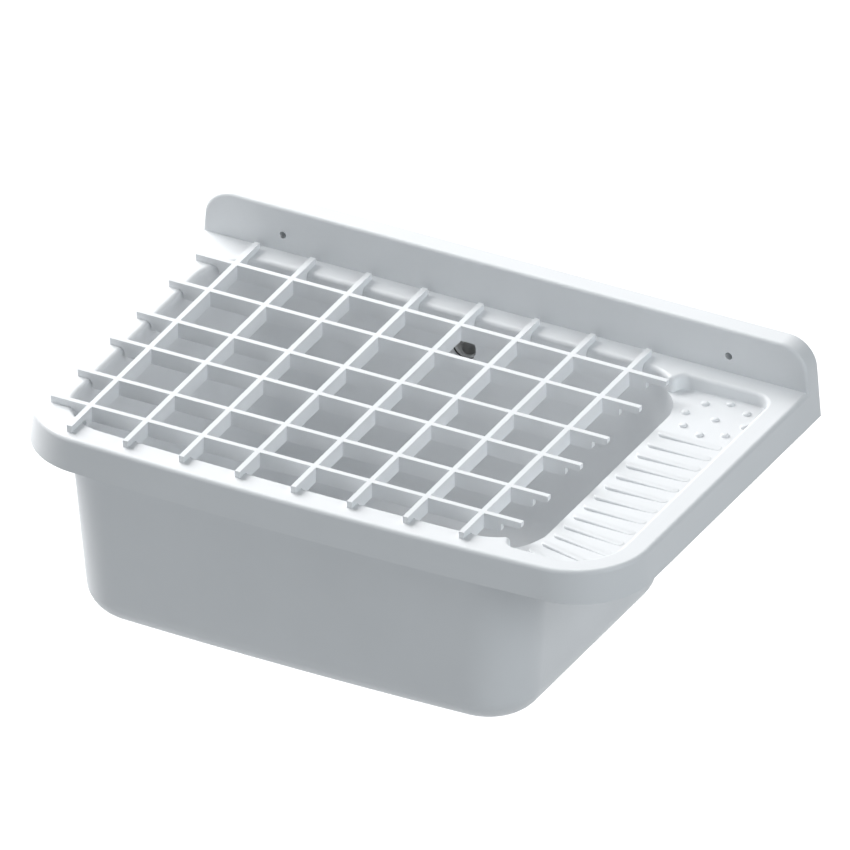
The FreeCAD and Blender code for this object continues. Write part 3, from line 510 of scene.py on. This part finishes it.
def nose_at(height, rearmost):
    """The rounded nose of the deck between bowl and tray: its centre and where it meets both."""
    radius = bowl_corner_radius
    side = 1 if rearmost else -1
    bowl_y = bowl_wall(height, "rear")
    if not rearmost:
        bowl_y = bowl_wall(height, "front") + bow(bowl_right_x - radius)
    bowl_centre = Vector((bowl_wall(height, "right") - radius, bowl_y - side * radius))
    tray_radius = tray_corner_radii[0]
    tray_y = tray_rear_y if rearmost else tray_front_y
    tray_centre = Vector((tray_left_x + tray_radius, tray_y - side * tray_radius))
    across = tray_centre - bowl_centre
    from_bowl = radius + nose_radius - nose_bite
    from_tray = tray_radius + nose_radius - nose_bite
    along = (across.length_squared + from_bowl ** 2 - from_tray ** 2) / (2 * across.length)
    off = math.sqrt(from_bowl ** 2 - along ** 2)
    ahead = across.normalized()
    beside = Vector((-ahead.y, ahead.x)) * side
    centre = bowl_centre + ahead * along + beside * off
    on_bowl = centre + (bowl_centre - centre).normalized() * nose_radius
    on_tray = centre + (tray_centre - centre).normalized() * nose_radius
    return centre, on_bowl, on_tray


def nose_cutter(rearmost):
    """What rounds one nose: an upright wedge between the bowl's hollow and the tray's."""
    top = rim_z + cut_over + overlap
    foot = lip_floor_z + (tray_left_x - bowl_right_x) * math.tan(tray_slope)
    side = 1 if rearmost else -1
    outlines = []
    for height in (top, foot + overlap):
        centre, on_bowl, on_tray = nose_at(height, rearmost)
        start = on_bowl - centre
        turn = start.angle_signed(on_tray - centre)
        outline = spot_at("nose_outline", (*on_bowl, height))
        edit(outline)
        bpy.ops.mesh.select_all(action="SELECT")
        bpy.ops.mesh.spin(steps=nose_steps, angle=turn, center=(*centre, height), axis=(0, 0, 1))
        corner = on_tray
        for meeting, across, deep in ((on_tray, wedge_width, 0), (on_tray, wedge_width, wedge_depth),
                                      (on_bowl, wedge_tip_width, wedge_tip_depth)):
            further = meeting + Vector((across, -side * deep))
            draw_out((*(further - corner), 0))
            corner = further
        bpy.ops.mesh.select_all(action="SELECT")
        bpy.ops.mesh.edge_face_add()
        leave_edit()
        outlines.append(outline)
    piece = merge(outlines)
    edit(piece)
    bpy.ops.mesh.select_all(action="SELECT")
    bpy.ops.mesh.bridge_edge_loops()
    leave_edit()
    face_outwards(piece)
    return piece


def opening_tool():
    """Bowl and tray as one cutting form, with the noses between them rounded."""
    tray = tray_block("tray_inside", 0, rim_z + cut_over)
    highest = lip_floor_z + tray_floor_band
    soften(tray, tray_floor_edge, lambda e: all(v.co.z < highest for v in e.verts), steps=3)
    tool = bowl_block("bowl_inside", 0, rim_z + cut_over, bowl_floor_z)
    combine(tool, tray, "UNION")
    for rearmost in (True, False):
        combine(tool, nose_cutter(rearmost), "UNION")
    edit(tool)
    left, right = tray_left_x - nose_zone[0], tray_left_x + nose_zone[1]
    pick(tool, "VERT", lambda v: left < v.co.x < right)
    bpy.ops.mesh.remove_doubles(threshold=nose_merge)
    leave_edit()
    return tool


def is_tip(edge):
    """True where two walls meet at a clear angle."""
    return len(edge.link_faces) == 2 and abs(edge.calc_face_angle_signed(0.0)) > tip_angle


def washboard_ribs():
    """Copies of one rib whose top dips to its far end. The last ones turn to follow the front corner."""
    half = rib_width / 2
    top = lip_floor_z + rib_height
    model = block("rib", (0, -half, lip_floor_z - sheet / 2), (rib_length, half, top))
    edit(model)
    pick(model, "VERT", lambda v: v.co.x > rib_length / 2 and abs(v.co.z - top) < same)
    bpy.ops.transform.translate(value=(0, 0, -rib_run_out))
    leave_edit()
    soften(model, half - near, lambda e: abs(e.verts[0].co.z - e.verts[1].co.z) > rib_height, steps=8)
    soften(model, rib_edge, lambda e: all(v.co.z > top - rib_run_out - same for v in e.verts), steps=4)
    corner_y = bowl_front_y + bow(bowl_right_x - bowl_corner_radius) - rib_start
    ribs = []
    for number in range(rib_count):
        fan = max(0, number - rib_fan_from)
        angle = -rib_fan_angle * fan ** 2
        y = tray_rear_y - first_rib - rib_pitch * number + rib_fan_crowding * fan ** 2
        drawn_in = corner_inset(y - corner_y, bowl_corner_radius + rib_start)
        x = max(bowl_right_x + rib_start - drawn_in, last_rib_x)
        rib = copy_of(model)
        edit(rib)
        pick(rib, "VERT", lambda v: v.co.x > rib_length / 2)
        bpy.ops.transform.translate(value=(rib_room(Vector((x, y)), angle) - rib_length, 0, 0))
        leave_edit()
        rib.data.transform(Matrix.Translation((x, y, 0)) @ Matrix.Rotation(angle, 4, "Z"))
        ribs.append(rib)
    bpy.data.objects.remove(model)
    return ribs


def rib_room(start, angle):
    """How long a rib is: as far as the others reach, or to the tray's rounded front corner."""
    usual = bowl_right_x + rib_start + rib_length - start.x
    heading = Vector((math.cos(angle), math.sin(angle)))
    radius = tray_corner_radii[1]
    from_corner = start - Vector((tray_right_x - radius, tray_front_y + radius))
    back = from_corner.dot(heading)
    off_line = math.sqrt(from_corner.length_squared - back ** 2)
    reach = radius - rib_width / 3
    if from_corner.y > 0 or off_line > reach:
        return usual
    return min(usual, math.sqrt(reach ** 2 - off_line ** 2) - back)


def on_tray_floor():
    """Carries what was built on a level floor at x = 0 onto the sloping tray floor at its lip."""
    slope = Matrix.Rotation(-tray_slope, 4, "Y")
    return Matrix.Translation((bowl_right_x, 0, lip_floor_z)) @ slope


def soap_nubs():
    """A ring of domed nubs with one in the middle, all copies of one."""
    height = nub_height + sheet / 2
    model = round_bar("nub", nub_radius, height, (0, 0, nub_height - height / 2), sides=28)
    soften(model, nub_dome, all_at(nub_height))
    across, along = nub_centre
    places = [(across, along)]
    for number in range(nub_ring_count):
        turn = math.tau * number / nub_ring_count
        places.append((across + nub_ring_radius * math.cos(turn), along - nub_ring_radius * math.sin(turn)))
    nubs = []
    for across, along in places:
        nub = copy_of(model)
        nub.data.transform(on_tray_floor() @ Matrix.Translation((across, tray_rear_y - along, 0)))
        nubs.append(nub)
    bpy.data.objects.remove(model)
    return nubs


def upstand_webs():
    """Webs and screw bosses in the hollow back of the upstand."""
    webs = []
    inner = upstand_face_y + sheet / 2
    back = wall_y - overlap
    for number in range(-webs_each_side, webs_each_side + 1):
        x = number * web_pitch
        low = (x - web_thickness / 2, inner, rim_z - sheet / 2)
        webs.append(block("web", low, (x + web_thickness / 2, back, upstand_top_z - sheet / 2)))
    for x in (-screw_x, screw_x):
        centre = (x, (back + inner) / 2, 0)
        webs.append(round_bar("boss", screw_boss_radius, back - inner, centre, (0, 1, 0), sides=48))
    return webs


def leaning_back(piece):
    """Turns a piece built square to y so that it stands square on the leaning rear wall."""
    centre = Matrix.Translation((drain.x, overflow_y, overflow_z))
    piece.data.transform(centre @ Matrix.Rotation(-bowl_draft, 4, "X") @ centre.inverted())
    return piece


def overflow_pad():
    """Thick pad with two ears behind the rear wall."""
    start, end = overflow_y + sheet / 2, overflow_y + pad_reach
    spot = Vector((drain.x, (start + end) / 2, overflow_z))
    pad = round_bar("pad", pad_radius, end - start, spot, (0, 1, 0))
    for side in (-ear_spacing, ear_spacing):
        place = spot + Vector((side, 0, 0))
        combine(pad, round_bar("ear", ear_radius, end - start, place, (0, 1, 0), sides=40), "UNION")
    return leaning_back(pad)


def seat_form():
    """The dished underside of the floor and the thick seat around the drain."""
    level = bowl_floor_z - sheet
    profile = [(0, level + sheet / 2), (seat_radius, level + sheet / 2), (funnel_radius, level + overlap)]
    profile += [(seat_radius, funnel_z(seat_radius) - sheet), (seat_radius, seat_foot_z), (0, seat_foot_z)]
    return turned("seat", profile, drain)


def drain_form():
    """What is cut away for the dish of the floor, the strainer's recess and the hole."""
    recess_radius = flange_radius + recess_clearance
    profile = [(0, bowl_floor_z + overlap), (funnel_radius, bowl_floor_z + overlap)]
    profile += [(recess_radius, funnel_z(recess_radius)), (recess_radius, recess_z)]
    profile += [(drain_radius, recess_z), (drain_radius, seat_foot_z - cut_over), (0, seat_foot_z - cut_over)]
    return turned("drain_cut", profile, drain)


def funnel_z(radius):
    """Height of the dished floor at a distance from the drain's axis."""
    return seat_z + floor_fall * (radius - drain_radius) / (funnel_radius - drain_radius)


def quarter_deck(basin):
    """Cuts the deck's face in four, so that each face around the opening has one simple outline."""
    middle_y = (bowl_front_y + bowl_rear_y) / 2
    edit(basin)
    for place, across in (((0, middle_y, 0), (0, 1, 0)), ((0, middle_y, 0), (1, 0, 0))):
        pick(basin, "FACE", all_at(rim_z))
        bpy.ops.mesh.bisect(plane_co=place, plane_no=across)
    leave_edit()


def outer_shell():
    """Skirt, deck and upstand, hollow from below and behind."""
    basin = skirt_block("basin_moulding", rim_z, skirt_foot_z, 0, wall_y - overlap)
    soften(basin, rim_edge_radius, lambda e: all_at(rim_z)(e) and middle(e).y < wall_y - near)
    upstand_foot = rim_z - rim_edge_radius - overlap
    upstand = upstand_block("upstand", 0, upstand_face_y, upstand_foot, wall_y, overlap)

    def face_edge(edge):
        on_face = all(abs(v.co.y - upstand_face_y) < near for v in edge.verts)
        return on_face and middle(edge).z > rim_z - rim_edge_radius + near
    soften(upstand, upstand_edge_radius, face_edge)
    combine(basin, upstand, "UNION")
    below = skirt_foot_z - cut_over
    behind = wall_y + cut_over
    hollow = skirt_block("hollow", rim_z - sheet, below, skirt_wall, behind)
    back_foot = below + cut_over / 2
    hollow_back = upstand_block("hollow_back", sheet, upstand_face_y + sheet, back_foot, behind - overlap)
    combine(hollow, hollow_back, "UNION")
    combine(basin, hollow, "DIFFERENCE")
    return basin


def add_inner_walls(basin):
    """Joins on the walls of bowl and tray and the thick places behind and under them."""
    bowl = bowl_block("bowl_outside", sheet, rim_z - sheet / 2, bowl_floor_z - sheet)
    tray = tray_block("tray_outside", sheet, rim_z - sheet / 2)
    soften(tray, sheet, lambda e: all(v.co.z < lip_floor_z for v in e.verts), steps=4)
    for piece in [bowl, tray, overflow_pad()] + upstand_webs() + [seat_form()]:
        combine(basin, piece, "UNION")


def round_opening(basin):
    """Rounds the deck's edge around the opening, then the lip between tray and bowl."""
    def opening_edge(edge):
        spot = middle(edge)
        inside = bowl_left_x - opening_margin < spot.x < tray_right_x + opening_margin
        inside = inside and tray_front_y - opening_margin < spot.y < tray_rear_y + opening_margin
        return all_at(rim_z)(edge) and inside and is_tip(edge)
    soften(basin, opening_edge_radius, opening_edge)

    def lip(edge):
        spot = middle(edge)
        along = abs(spot.x - bowl_wall(lip_floor_z, "right")) < lip_band
        return along and abs(spot.z - lip_floor_z) < lip_band and is_tip(edge)
    soften(basin, lip_edge, lip, steps=3)


def bore_holes(basin):
    """Cuts the overflow hole, the screw holes and the drain."""
    place = (drain.x, overflow_y, overflow_z)
    overflow = round_bar("overflow", overflow_radius, overflow_cut_length, place, (0, 1, 0))
    combine(basin, leaning_back(overflow), "DIFFERENCE")
    for x in (-screw_x, screw_x):
        place = (x, wall_y, 0)
        hole = round_bar("screw_hole", screw_hole_radius, screw_cut_length, place, (0, 1, 0), sides=40)
        combine(basin, hole, "DIFFERENCE")
    combine(basin, drain_form(), "DIFFERENCE")


def build_basin():
    basin = outer_shell()
    add_inner_walls(basin)
    quarter_deck(basin)
    combine(basin, opening_tool(), "DIFFERENCE")
    round_opening(basin)
    bore_holes(basin)
    basin = merge([basin] + washboard_ribs() + soap_nubs())
    smooth(basin)
    return basin


# ---------------------------------------------------------------- grate

def corner_inset(distance, radius):
    """How far a rounded corner has drawn an edge in, at a distance from the corner's start."""
    if distance >= radius:
        return 0.0
    return radius - math.sqrt(radius ** 2 - (radius - distance) ** 2)


def left_wall_at(y):
    front = bowl_front_y + bow(bowl_left_x + bowl_corner_radius)
    nearest = max(0.0, min(bowl_rear_y - y - bar / 2, y - bar / 2 - front))
    return bowl_left_x + corner_inset(nearest, bowl_corner_radius)


def end_inset(x):
    nearest = max(0.0, min(x - bar / 2 - bowl_left_x, bowl_right_x - x - bar / 2))
    return corner_inset(nearest, bowl_corner_radius)


def grate_bar(name, start, deep_start, deep_end, end, notched_end):
    """One bar along x about y = 0: a shallow strip with a deep web under it.

    The start is notched to rest on the rim. The end is notched too, or else hangs free.
    """
    piece = block(name, (start, -bar / 2, rim_z), (end, bar / 2, grate_top_z))
    edit(piece)
    for cut in (deep_start, deep_end):
        bpy.ops.mesh.select_all(action="SELECT")
        bpy.ops.mesh.bisect(plane_co=(cut, 0, 0), plane_no=(1, 0, 0))
    pick(piece, "FACE", lambda f: all_at(rim_z)(f) and deep_start < f.calc_center_median().x < deep_end)
    draw_out((0, 0, grate_foot_z - rim_z))
    leave_edit()

    def across_at(x, z):
        return lambda e: all(abs(v.co.x - x) < near and abs(v.co.z - z) < near for v in e.verts)
    soften(piece, notch_radius, across_at(deep_start, rim_z), steps=6)
    if notched_end:
        soften(piece, notch_radius, across_at(deep_end, rim_z), steps=6)
    else:
        soften(piece, free_radius, across_at(deep_end, grate_foot_z), steps=4)
        soften(piece, free_radius, across_at(end, rim_z), steps=4)
    return piece


def build_grate():
    lean = (grate_top_z - grate_foot_z) * math.tan(bowl_draft)
    first = bowl_left_x + first_cross_bar
    columns = [first + cross_bar_pitch * number for number in range(cross_bar_count)]
    y = bowl_rear_y - first_row
    rows = []
    last = columns[-1]
    for step, free_root in zip((0,) + row_steps, free_roots):
        y -= step
        deep = left_wall_at(y) + arm_gap + lean
        strip = grate_bar("row", bowl_left_x - left_arm, deep, last + free_root, last + free_tip, False)
        strip.data.transform(Matrix.Translation((0, y, 0)))
        rows.append(strip)
    bars = []
    quarter = Matrix.Rotation(math.pi / 2, 4, "Z")
    for x in columns:
        inset = end_inset(x)
        front = bowl_front_y + bow(abs(x) + bar / 2) + inset + arm_gap + lean
        rear = bowl_rear_y - inset - arm_gap - lean
        strip = grate_bar("column", bowl_front_y - front_arm, front, rear, bowl_rear_y + rear_arm, True)
        strip.data.transform(Matrix.Translation((x, 0, 0)) @ quarter)
        bars.append(strip)
    grate = merge(rows)
    grate.name = "grate_moulding"
    combine(grate, merge(bars), "UNION")
    edge = grate.modifiers.new("edge", "BEVEL")
    edge.width = bar_edge
    edge.segments = 3
    edge.limit_method = "ANGLE"
    edge.angle_limit = bar_edge_angle
    apply_all(grate)
    smooth(grate)
    return grate


# ---------------------------------------------------------------- overflow hose

def hose_line():
    """The line that the hose follows: down the wall, round the bend and level to the waste."""
    down = Vector((0, -math.sin(bowl_draft), -math.cos(bowl_draft)))
    level = Vector((0, -1, 0))
    turn = math.pi / 2 - bowl_draft
    lead = 4 / 3 * math.tan(turn / 4) * hose_bend_radius  # handles of this length draw a round bend
    bend_start, bend_end = hose_start + down * hose_drop, hose_end - level * hose_run
    knots = ((hose_start, down, lead, lead), (bend_start, down, lead, lead),
             (bend_end, level, lead, hose_run / 3), (hose_end, level, hose_run / 3, lead))
    bpy.ops.curve.primitive_bezier_curve_add(location=(0, 0, 0))
    line = bpy.context.object
    bpy.ops.object.mode_set(mode="EDIT")
    bpy.ops.curve.select_all(action="SELECT")
    bpy.ops.curve.subdivide(number_cuts=2)
    bpy.ops.object.mode_set(mode="OBJECT")
    for point, (place, heading, before, after) in zip(line.data.splines[0].bezier_points, knots):
        point.handle_left_type = point.handle_right_type = "FREE"
        point.co = place
        point.handle_left = place - heading * before
        point.handle_right = place + heading * after
    line.data.resolution_u = 32
    return line


def hose_rib():
    """One pitch of the ribbed wall, drawn ring by ring along x."""
    bpy.ops.mesh.primitive_circle_add(vertices=40, radius=hose_valley_radius, rotation=(0, math.pi / 2, 0))
    rib = bpy.context.object
    rib.name = "hose_moulding"
    settle(rib)
    grow = hose_rib_radius / hose_valley_radius
    edit(rib)
    bpy.ops.mesh.select_all(action="SELECT")
    for step, factor in zip(hose_rib_steps, (1, grow, 1, 1 / grow, 1)):
        draw_out((step, 0, 0))
        bpy.ops.transform.resize(value=(1, factor, factor))
    leave_edit()

    end = hose_rib_steps[0] / 2

    def inner_ring(edge):
        first, second = (v.co.x for v in edge.verts)
        return abs(first - second) < same and end < first < sum(hose_rib_steps) - end
    soften(rib, hose_rib_edge, inner_ring, steps=2)
    return rib


def build_hose():
    """A ribbed hose: one rib repeated, plain ends drawn out, the whole laid along its line."""
    hose = hose_rib()
    pitch = sum(hose_rib_steps)
    ribs = hose.modifiers.new("ribs", "ARRAY")
    ribs.count = hose_rib_count
    ribs.use_relative_offset = False
    ribs.use_constant_offset = True
    ribs.constant_offset_displace = (pitch, 0, 0)
    ribs.use_merge_vertices = True
    ribs.merge_threshold = near
    apply_all(hose)
    far_end = pitch * hose_rib_count
    for end, reach in ((0, -hose_plain_end), (far_end, hose_plain_end)):
        edit(hose)
        pick(hose, "VERT", lambda v: abs(v.co.x - end) < near)
        draw_out((reach, 0, 0))
        leave_edit()
    hose.data.transform(Matrix.Translation((hose_plain_end, 0, 0)))
    face_outwards(hose)
    line = hose_line()
    lay = hose.modifiers.new("lay", "CURVE")
    lay.object = line
    lay.deform_axis = "POS_X"
    wall = hose.modifiers.new("wall", "SOLIDIFY")
    wall.thickness = hose_wall
    wall.offset = -1
    apply_all(hose)
    bpy.data.objects.remove(line)
    smooth(hose)
    return hose


# ---------------------------------------------------------------- materials

def new_material(name):
    material = bpy.data.materials.new(name)
    material.use_nodes = True
    nodes = material.node_tree.nodes
    return material, nodes, material.node_tree.links, nodes["Principled BSDF"]


def object_place(nodes):
    return nodes.new("ShaderNodeTexCoord").outputs["Object"]


def noise(nodes, links, vector, scale, detail):
    cloud = nodes.new("ShaderNodeTexNoise")
    cloud.inputs["Scale"].default_value = scale
    cloud.inputs["Detail"].default_value = detail
    links.new(vector, cloud.inputs["Vector"])
    return cloud.outputs["Fac"]


def blend_of(nodes, links, factor, dark, light):
    ramp = nodes.new("ShaderNodeValToRGB")
    ramp.color_ramp.elements[0].position = 0.35
    ramp.color_ramp.elements[0].color = (*dark, 1)
    ramp.color_ramp.elements[1].position = 0.65
    ramp.color_ramp.elements[1].color = (*light, 1)
    links.new(factor, ramp.inputs["Fac"])
    return ramp.outputs["Color"]


def span(nodes, links, factor, low, high):
    scaled = nodes.new("ShaderNodeMapRange")
    scaled.inputs["To Min"].default_value = low
    scaled.inputs["To Max"].default_value = high
    links.new(factor, scaled.inputs["Value"])
    return scaled.outputs["Result"]


def bump(nodes, links, shader, height, distance, strength):
    relief = nodes.new("ShaderNodeBump")
    relief.inputs["Distance"].default_value = distance
    relief.inputs["Strength"].default_value = strength
    links.new(height, relief.inputs["Height"])
    links.new(relief.outputs["Normal"], shader.inputs["Normal"])


def moulded_plastic(name, dark, light, roughness, grain):
    """Moulded plastic: faint flow marks in the colour and a fine pebbled skin."""
    material, nodes, links, shader = new_material(name)
    vector = object_place(nodes)
    marks = noise(nodes, links, vector, scale=9, detail=3)
    links.new(blend_of(nodes, links, marks, dark, light), shader.inputs["Base Color"])
    haze = noise(nodes, links, vector, scale=45, detail=2)
    links.new(span(nodes, links, haze, roughness - 0.05, roughness + 0.05), shader.inputs["Roughness"])
    skin = noise(nodes, links, vector, scale=grain, detail=2)
    bump(nodes, links, shader, skin, distance=0.04 * MM, strength=0.35)
    shader.inputs["IOR"].default_value = 1.49
    return material


def rubber(name):
    material, nodes, links, shader = new_material(name)
    vector = object_place(nodes)
    dust = noise(nodes, links, vector, scale=60, detail=4)
    colour = blend_of(nodes, links, dust, dark=(0.018, 0.018, 0.019), light=(0.035, 0.035, 0.036))
    links.new(colour, shader.inputs["Base Color"])
    links.new(span(nodes, links, dust, low=0.55, high=0.75), shader.inputs["Roughness"])
    skin = noise(nodes, links, vector, scale=900, detail=2)
    bump(nodes, links, shader, skin, distance=0.05 * MM, strength=0.5)
    return material


def spun_metal(name, dark, light, centre):
    """Metal with the fine rings that turning and brushing leave around an upright axis."""
    material, nodes, links, shader = new_material(name)
    mapping = nodes.new("ShaderNodeMapping")
    mapping.inputs["Location"].default_value = (-centre.x, -centre.y, 0)
    links.new(object_place(nodes), mapping.inputs["Vector"])
    rings = nodes.new("ShaderNodeTexWave")
    rings.wave_type = "RINGS"
    rings.rings_direction = "Z"
    rings.inputs["Scale"].default_value = 420
    rings.inputs["Distortion"].default_value = 1.5
    rings.inputs["Detail"].default_value = 3
    links.new(mapping.outputs["Vector"], rings.inputs["Vector"])
    links.new(blend_of(nodes, links, rings.outputs["Fac"], dark, light), shader.inputs["Base Color"])
    links.new(span(nodes, links, rings.outputs["Fac"], low=0.22, high=0.36), shader.inputs["Roughness"])
    bump(nodes, links, shader, rings.outputs["Fac"], distance=0.03 * MM, strength=0.4)
    shader.inputs["Metallic"].default_value = 1.0
    return material


def seen_glow(nodes, links, seen, unseen):
    """A strength that the camera, reflections and clear materials see, and another for the rest."""
    path = nodes.new("ShaderNodeLightPath")
    direct = path.outputs["Is Camera Ray"]
    for kind in ("Is Glossy Ray", "Is Transmission Ray"):
        either = nodes.new("ShaderNodeMath")
        either.operation = "MAXIMUM"
        links.new(direct, either.inputs[0])
        links.new(path.outputs[kind], either.inputs[1])
        direct = either.outputs[0]
    return span(nodes, links, direct, unseen, seen)


def floor_material():
    """Pale floor that looks white to the camera and still takes the sink's shadow."""
    material, nodes, links, shader = new_material("pale_floor")
    marks = noise(nodes, links, object_place(nodes), scale=2, detail=2)
    colour = blend_of(nodes, links, marks, dark=(0.34, 0.35, 0.36), light=(0.37, 0.38, 0.39))
    links.new(colour, shader.inputs["Base Color"])
    shader.inputs["Roughness"].default_value = 0.9
    shader.inputs["Specular IOR Level"].default_value = 0.1
    links.new(seen_glow(nodes, links, floor_glow, 0), shader.inputs["Emission Strength"])
    shader.inputs["Emission Color"].default_value = (1, 1, 1, 1)
    return material


def dress(piece, material):
    piece.data.materials.clear()
    piece.data.materials.append(material)


# ---------------------------------------------------------------- stage

def area_light(name, place, side, watts, colour):
    """A square soft lamp turned towards the sink."""
    data = bpy.data.lights.new(name, "AREA")
    data.color = colour
    data.shape = "RECTANGLE"
    data.size = data.size_y = side
    data.energy = watts
    lamp = bpy.data.objects.new(name, data)
    bpy.context.scene.collection.objects.link(lamp)
    lamp.location = place
    lamp.rotation_euler = (Vector(lamp_target) - Vector(place)).to_track_quat("-Z", "Y").to_euler()


def build_stage():
    bpy.ops.mesh.primitive_plane_add(size=floor_side, location=(0, 0, floor_z))
    floor = bpy.context.object
    floor.name = "floor"
    dress(floor, floor_material())
    world = bpy.data.worlds.new("studio")
    bpy.context.scene.world = world
    world.use_nodes = True
    background = world.node_tree.nodes["Background"]
    background.inputs["Color"].default_value = (*cool_white, 1)
    tree = world.node_tree
    tree.links.new(seen_glow(tree.nodes, tree.links, 1, sky_level), background.inputs["Strength"])
    area_light("left_window", (-3.4, 1.0, 2.7), side=3.2, watts=325, colour=plain_white)
    area_light("overhead", (0.2, -0.3, 2.6), side=2.6, watts=6, colour=plain_white)
    area_light("right_fill", (2.5, -0.7, 1.1), side=1.6, watts=30, colour=cool_white)
    area_light("front_fill", (-0.5, -3.0, 0.2), side=1.6, watts=14, colour=cool_white)


def build_camera():
    """Parallel view from the front right and above."""
    data = bpy.data.cameras.new("camera")
    data.type = "ORTHO"
    data.ortho_scale = view_width
    camera = bpy.data.objects.new("camera", data)
    bpy.context.scene.collection.objects.link(camera)
    level = math.cos(camera_elevation)
    across, towards = math.sin(camera_azimuth) * level, -math.cos(camera_azimuth) * level
    back = Vector((across, towards, math.sin(camera_elevation)))
    camera.location = view_centre + back * camera_distance
    camera.rotation_euler = (-back).to_track_quat("-Z", "Y").to_euler()
    bpy.context.scene.camera = camera


# ---------------------------------------------------------------- put together

build_camera()
build_stage()
bpy.context.scene.view_settings.view_transform = "Standard"

white = moulded_plastic("white_plastic", dark=(0.80, 0.815, 0.83), light=(0.825, 0.84, 0.855),
                        roughness=0.42, grain=1400)
fitting = moulded_plastic("fitting_plastic", dark=(0.70, 0.70, 0.69), light=(0.74, 0.74, 0.73),
                          roughness=0.4, grain=1200)
hose = moulded_plastic("hose_plastic", dark=(0.55, 0.56, 0.57), light=(0.60, 0.61, 0.62),
                       roughness=0.45, grain=1200)
black = rubber("black_rubber")
steel = spun_metal("stainless_steel", dark=(0.55, 0.55, 0.54), light=(0.68, 0.68, 0.67), centre=drain)
brass = spun_metal("brass", dark=(0.60, 0.42, 0.16), light=(0.72, 0.52, 0.22), centre=drain)

basin = build_basin()
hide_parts("basin")
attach(basin, "basin_and_fittings")
dress(basin, white)

grate = build_grate()
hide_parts("grate")
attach(grate, "bucket_grate")
dress(grate, white)

hose_piece = build_hose()
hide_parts("overflow_hose")
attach(hose_piece, "basin_and_fittings")
dress(hose_piece, hose)

finishes = {
    "black_rubber": black,
    "stainless_steel": steel,
    "brass": brass,
    "fitting_plastic": fitting,
    "hose_plastic": hose,
    "white_plastic": white,
}
for entry in frame["record"]["subparts"]:
    node = frame["nodes"][entry["node"]]
    for place in node.material_slots:
        place.material = finishes[entry["material_slot"]]
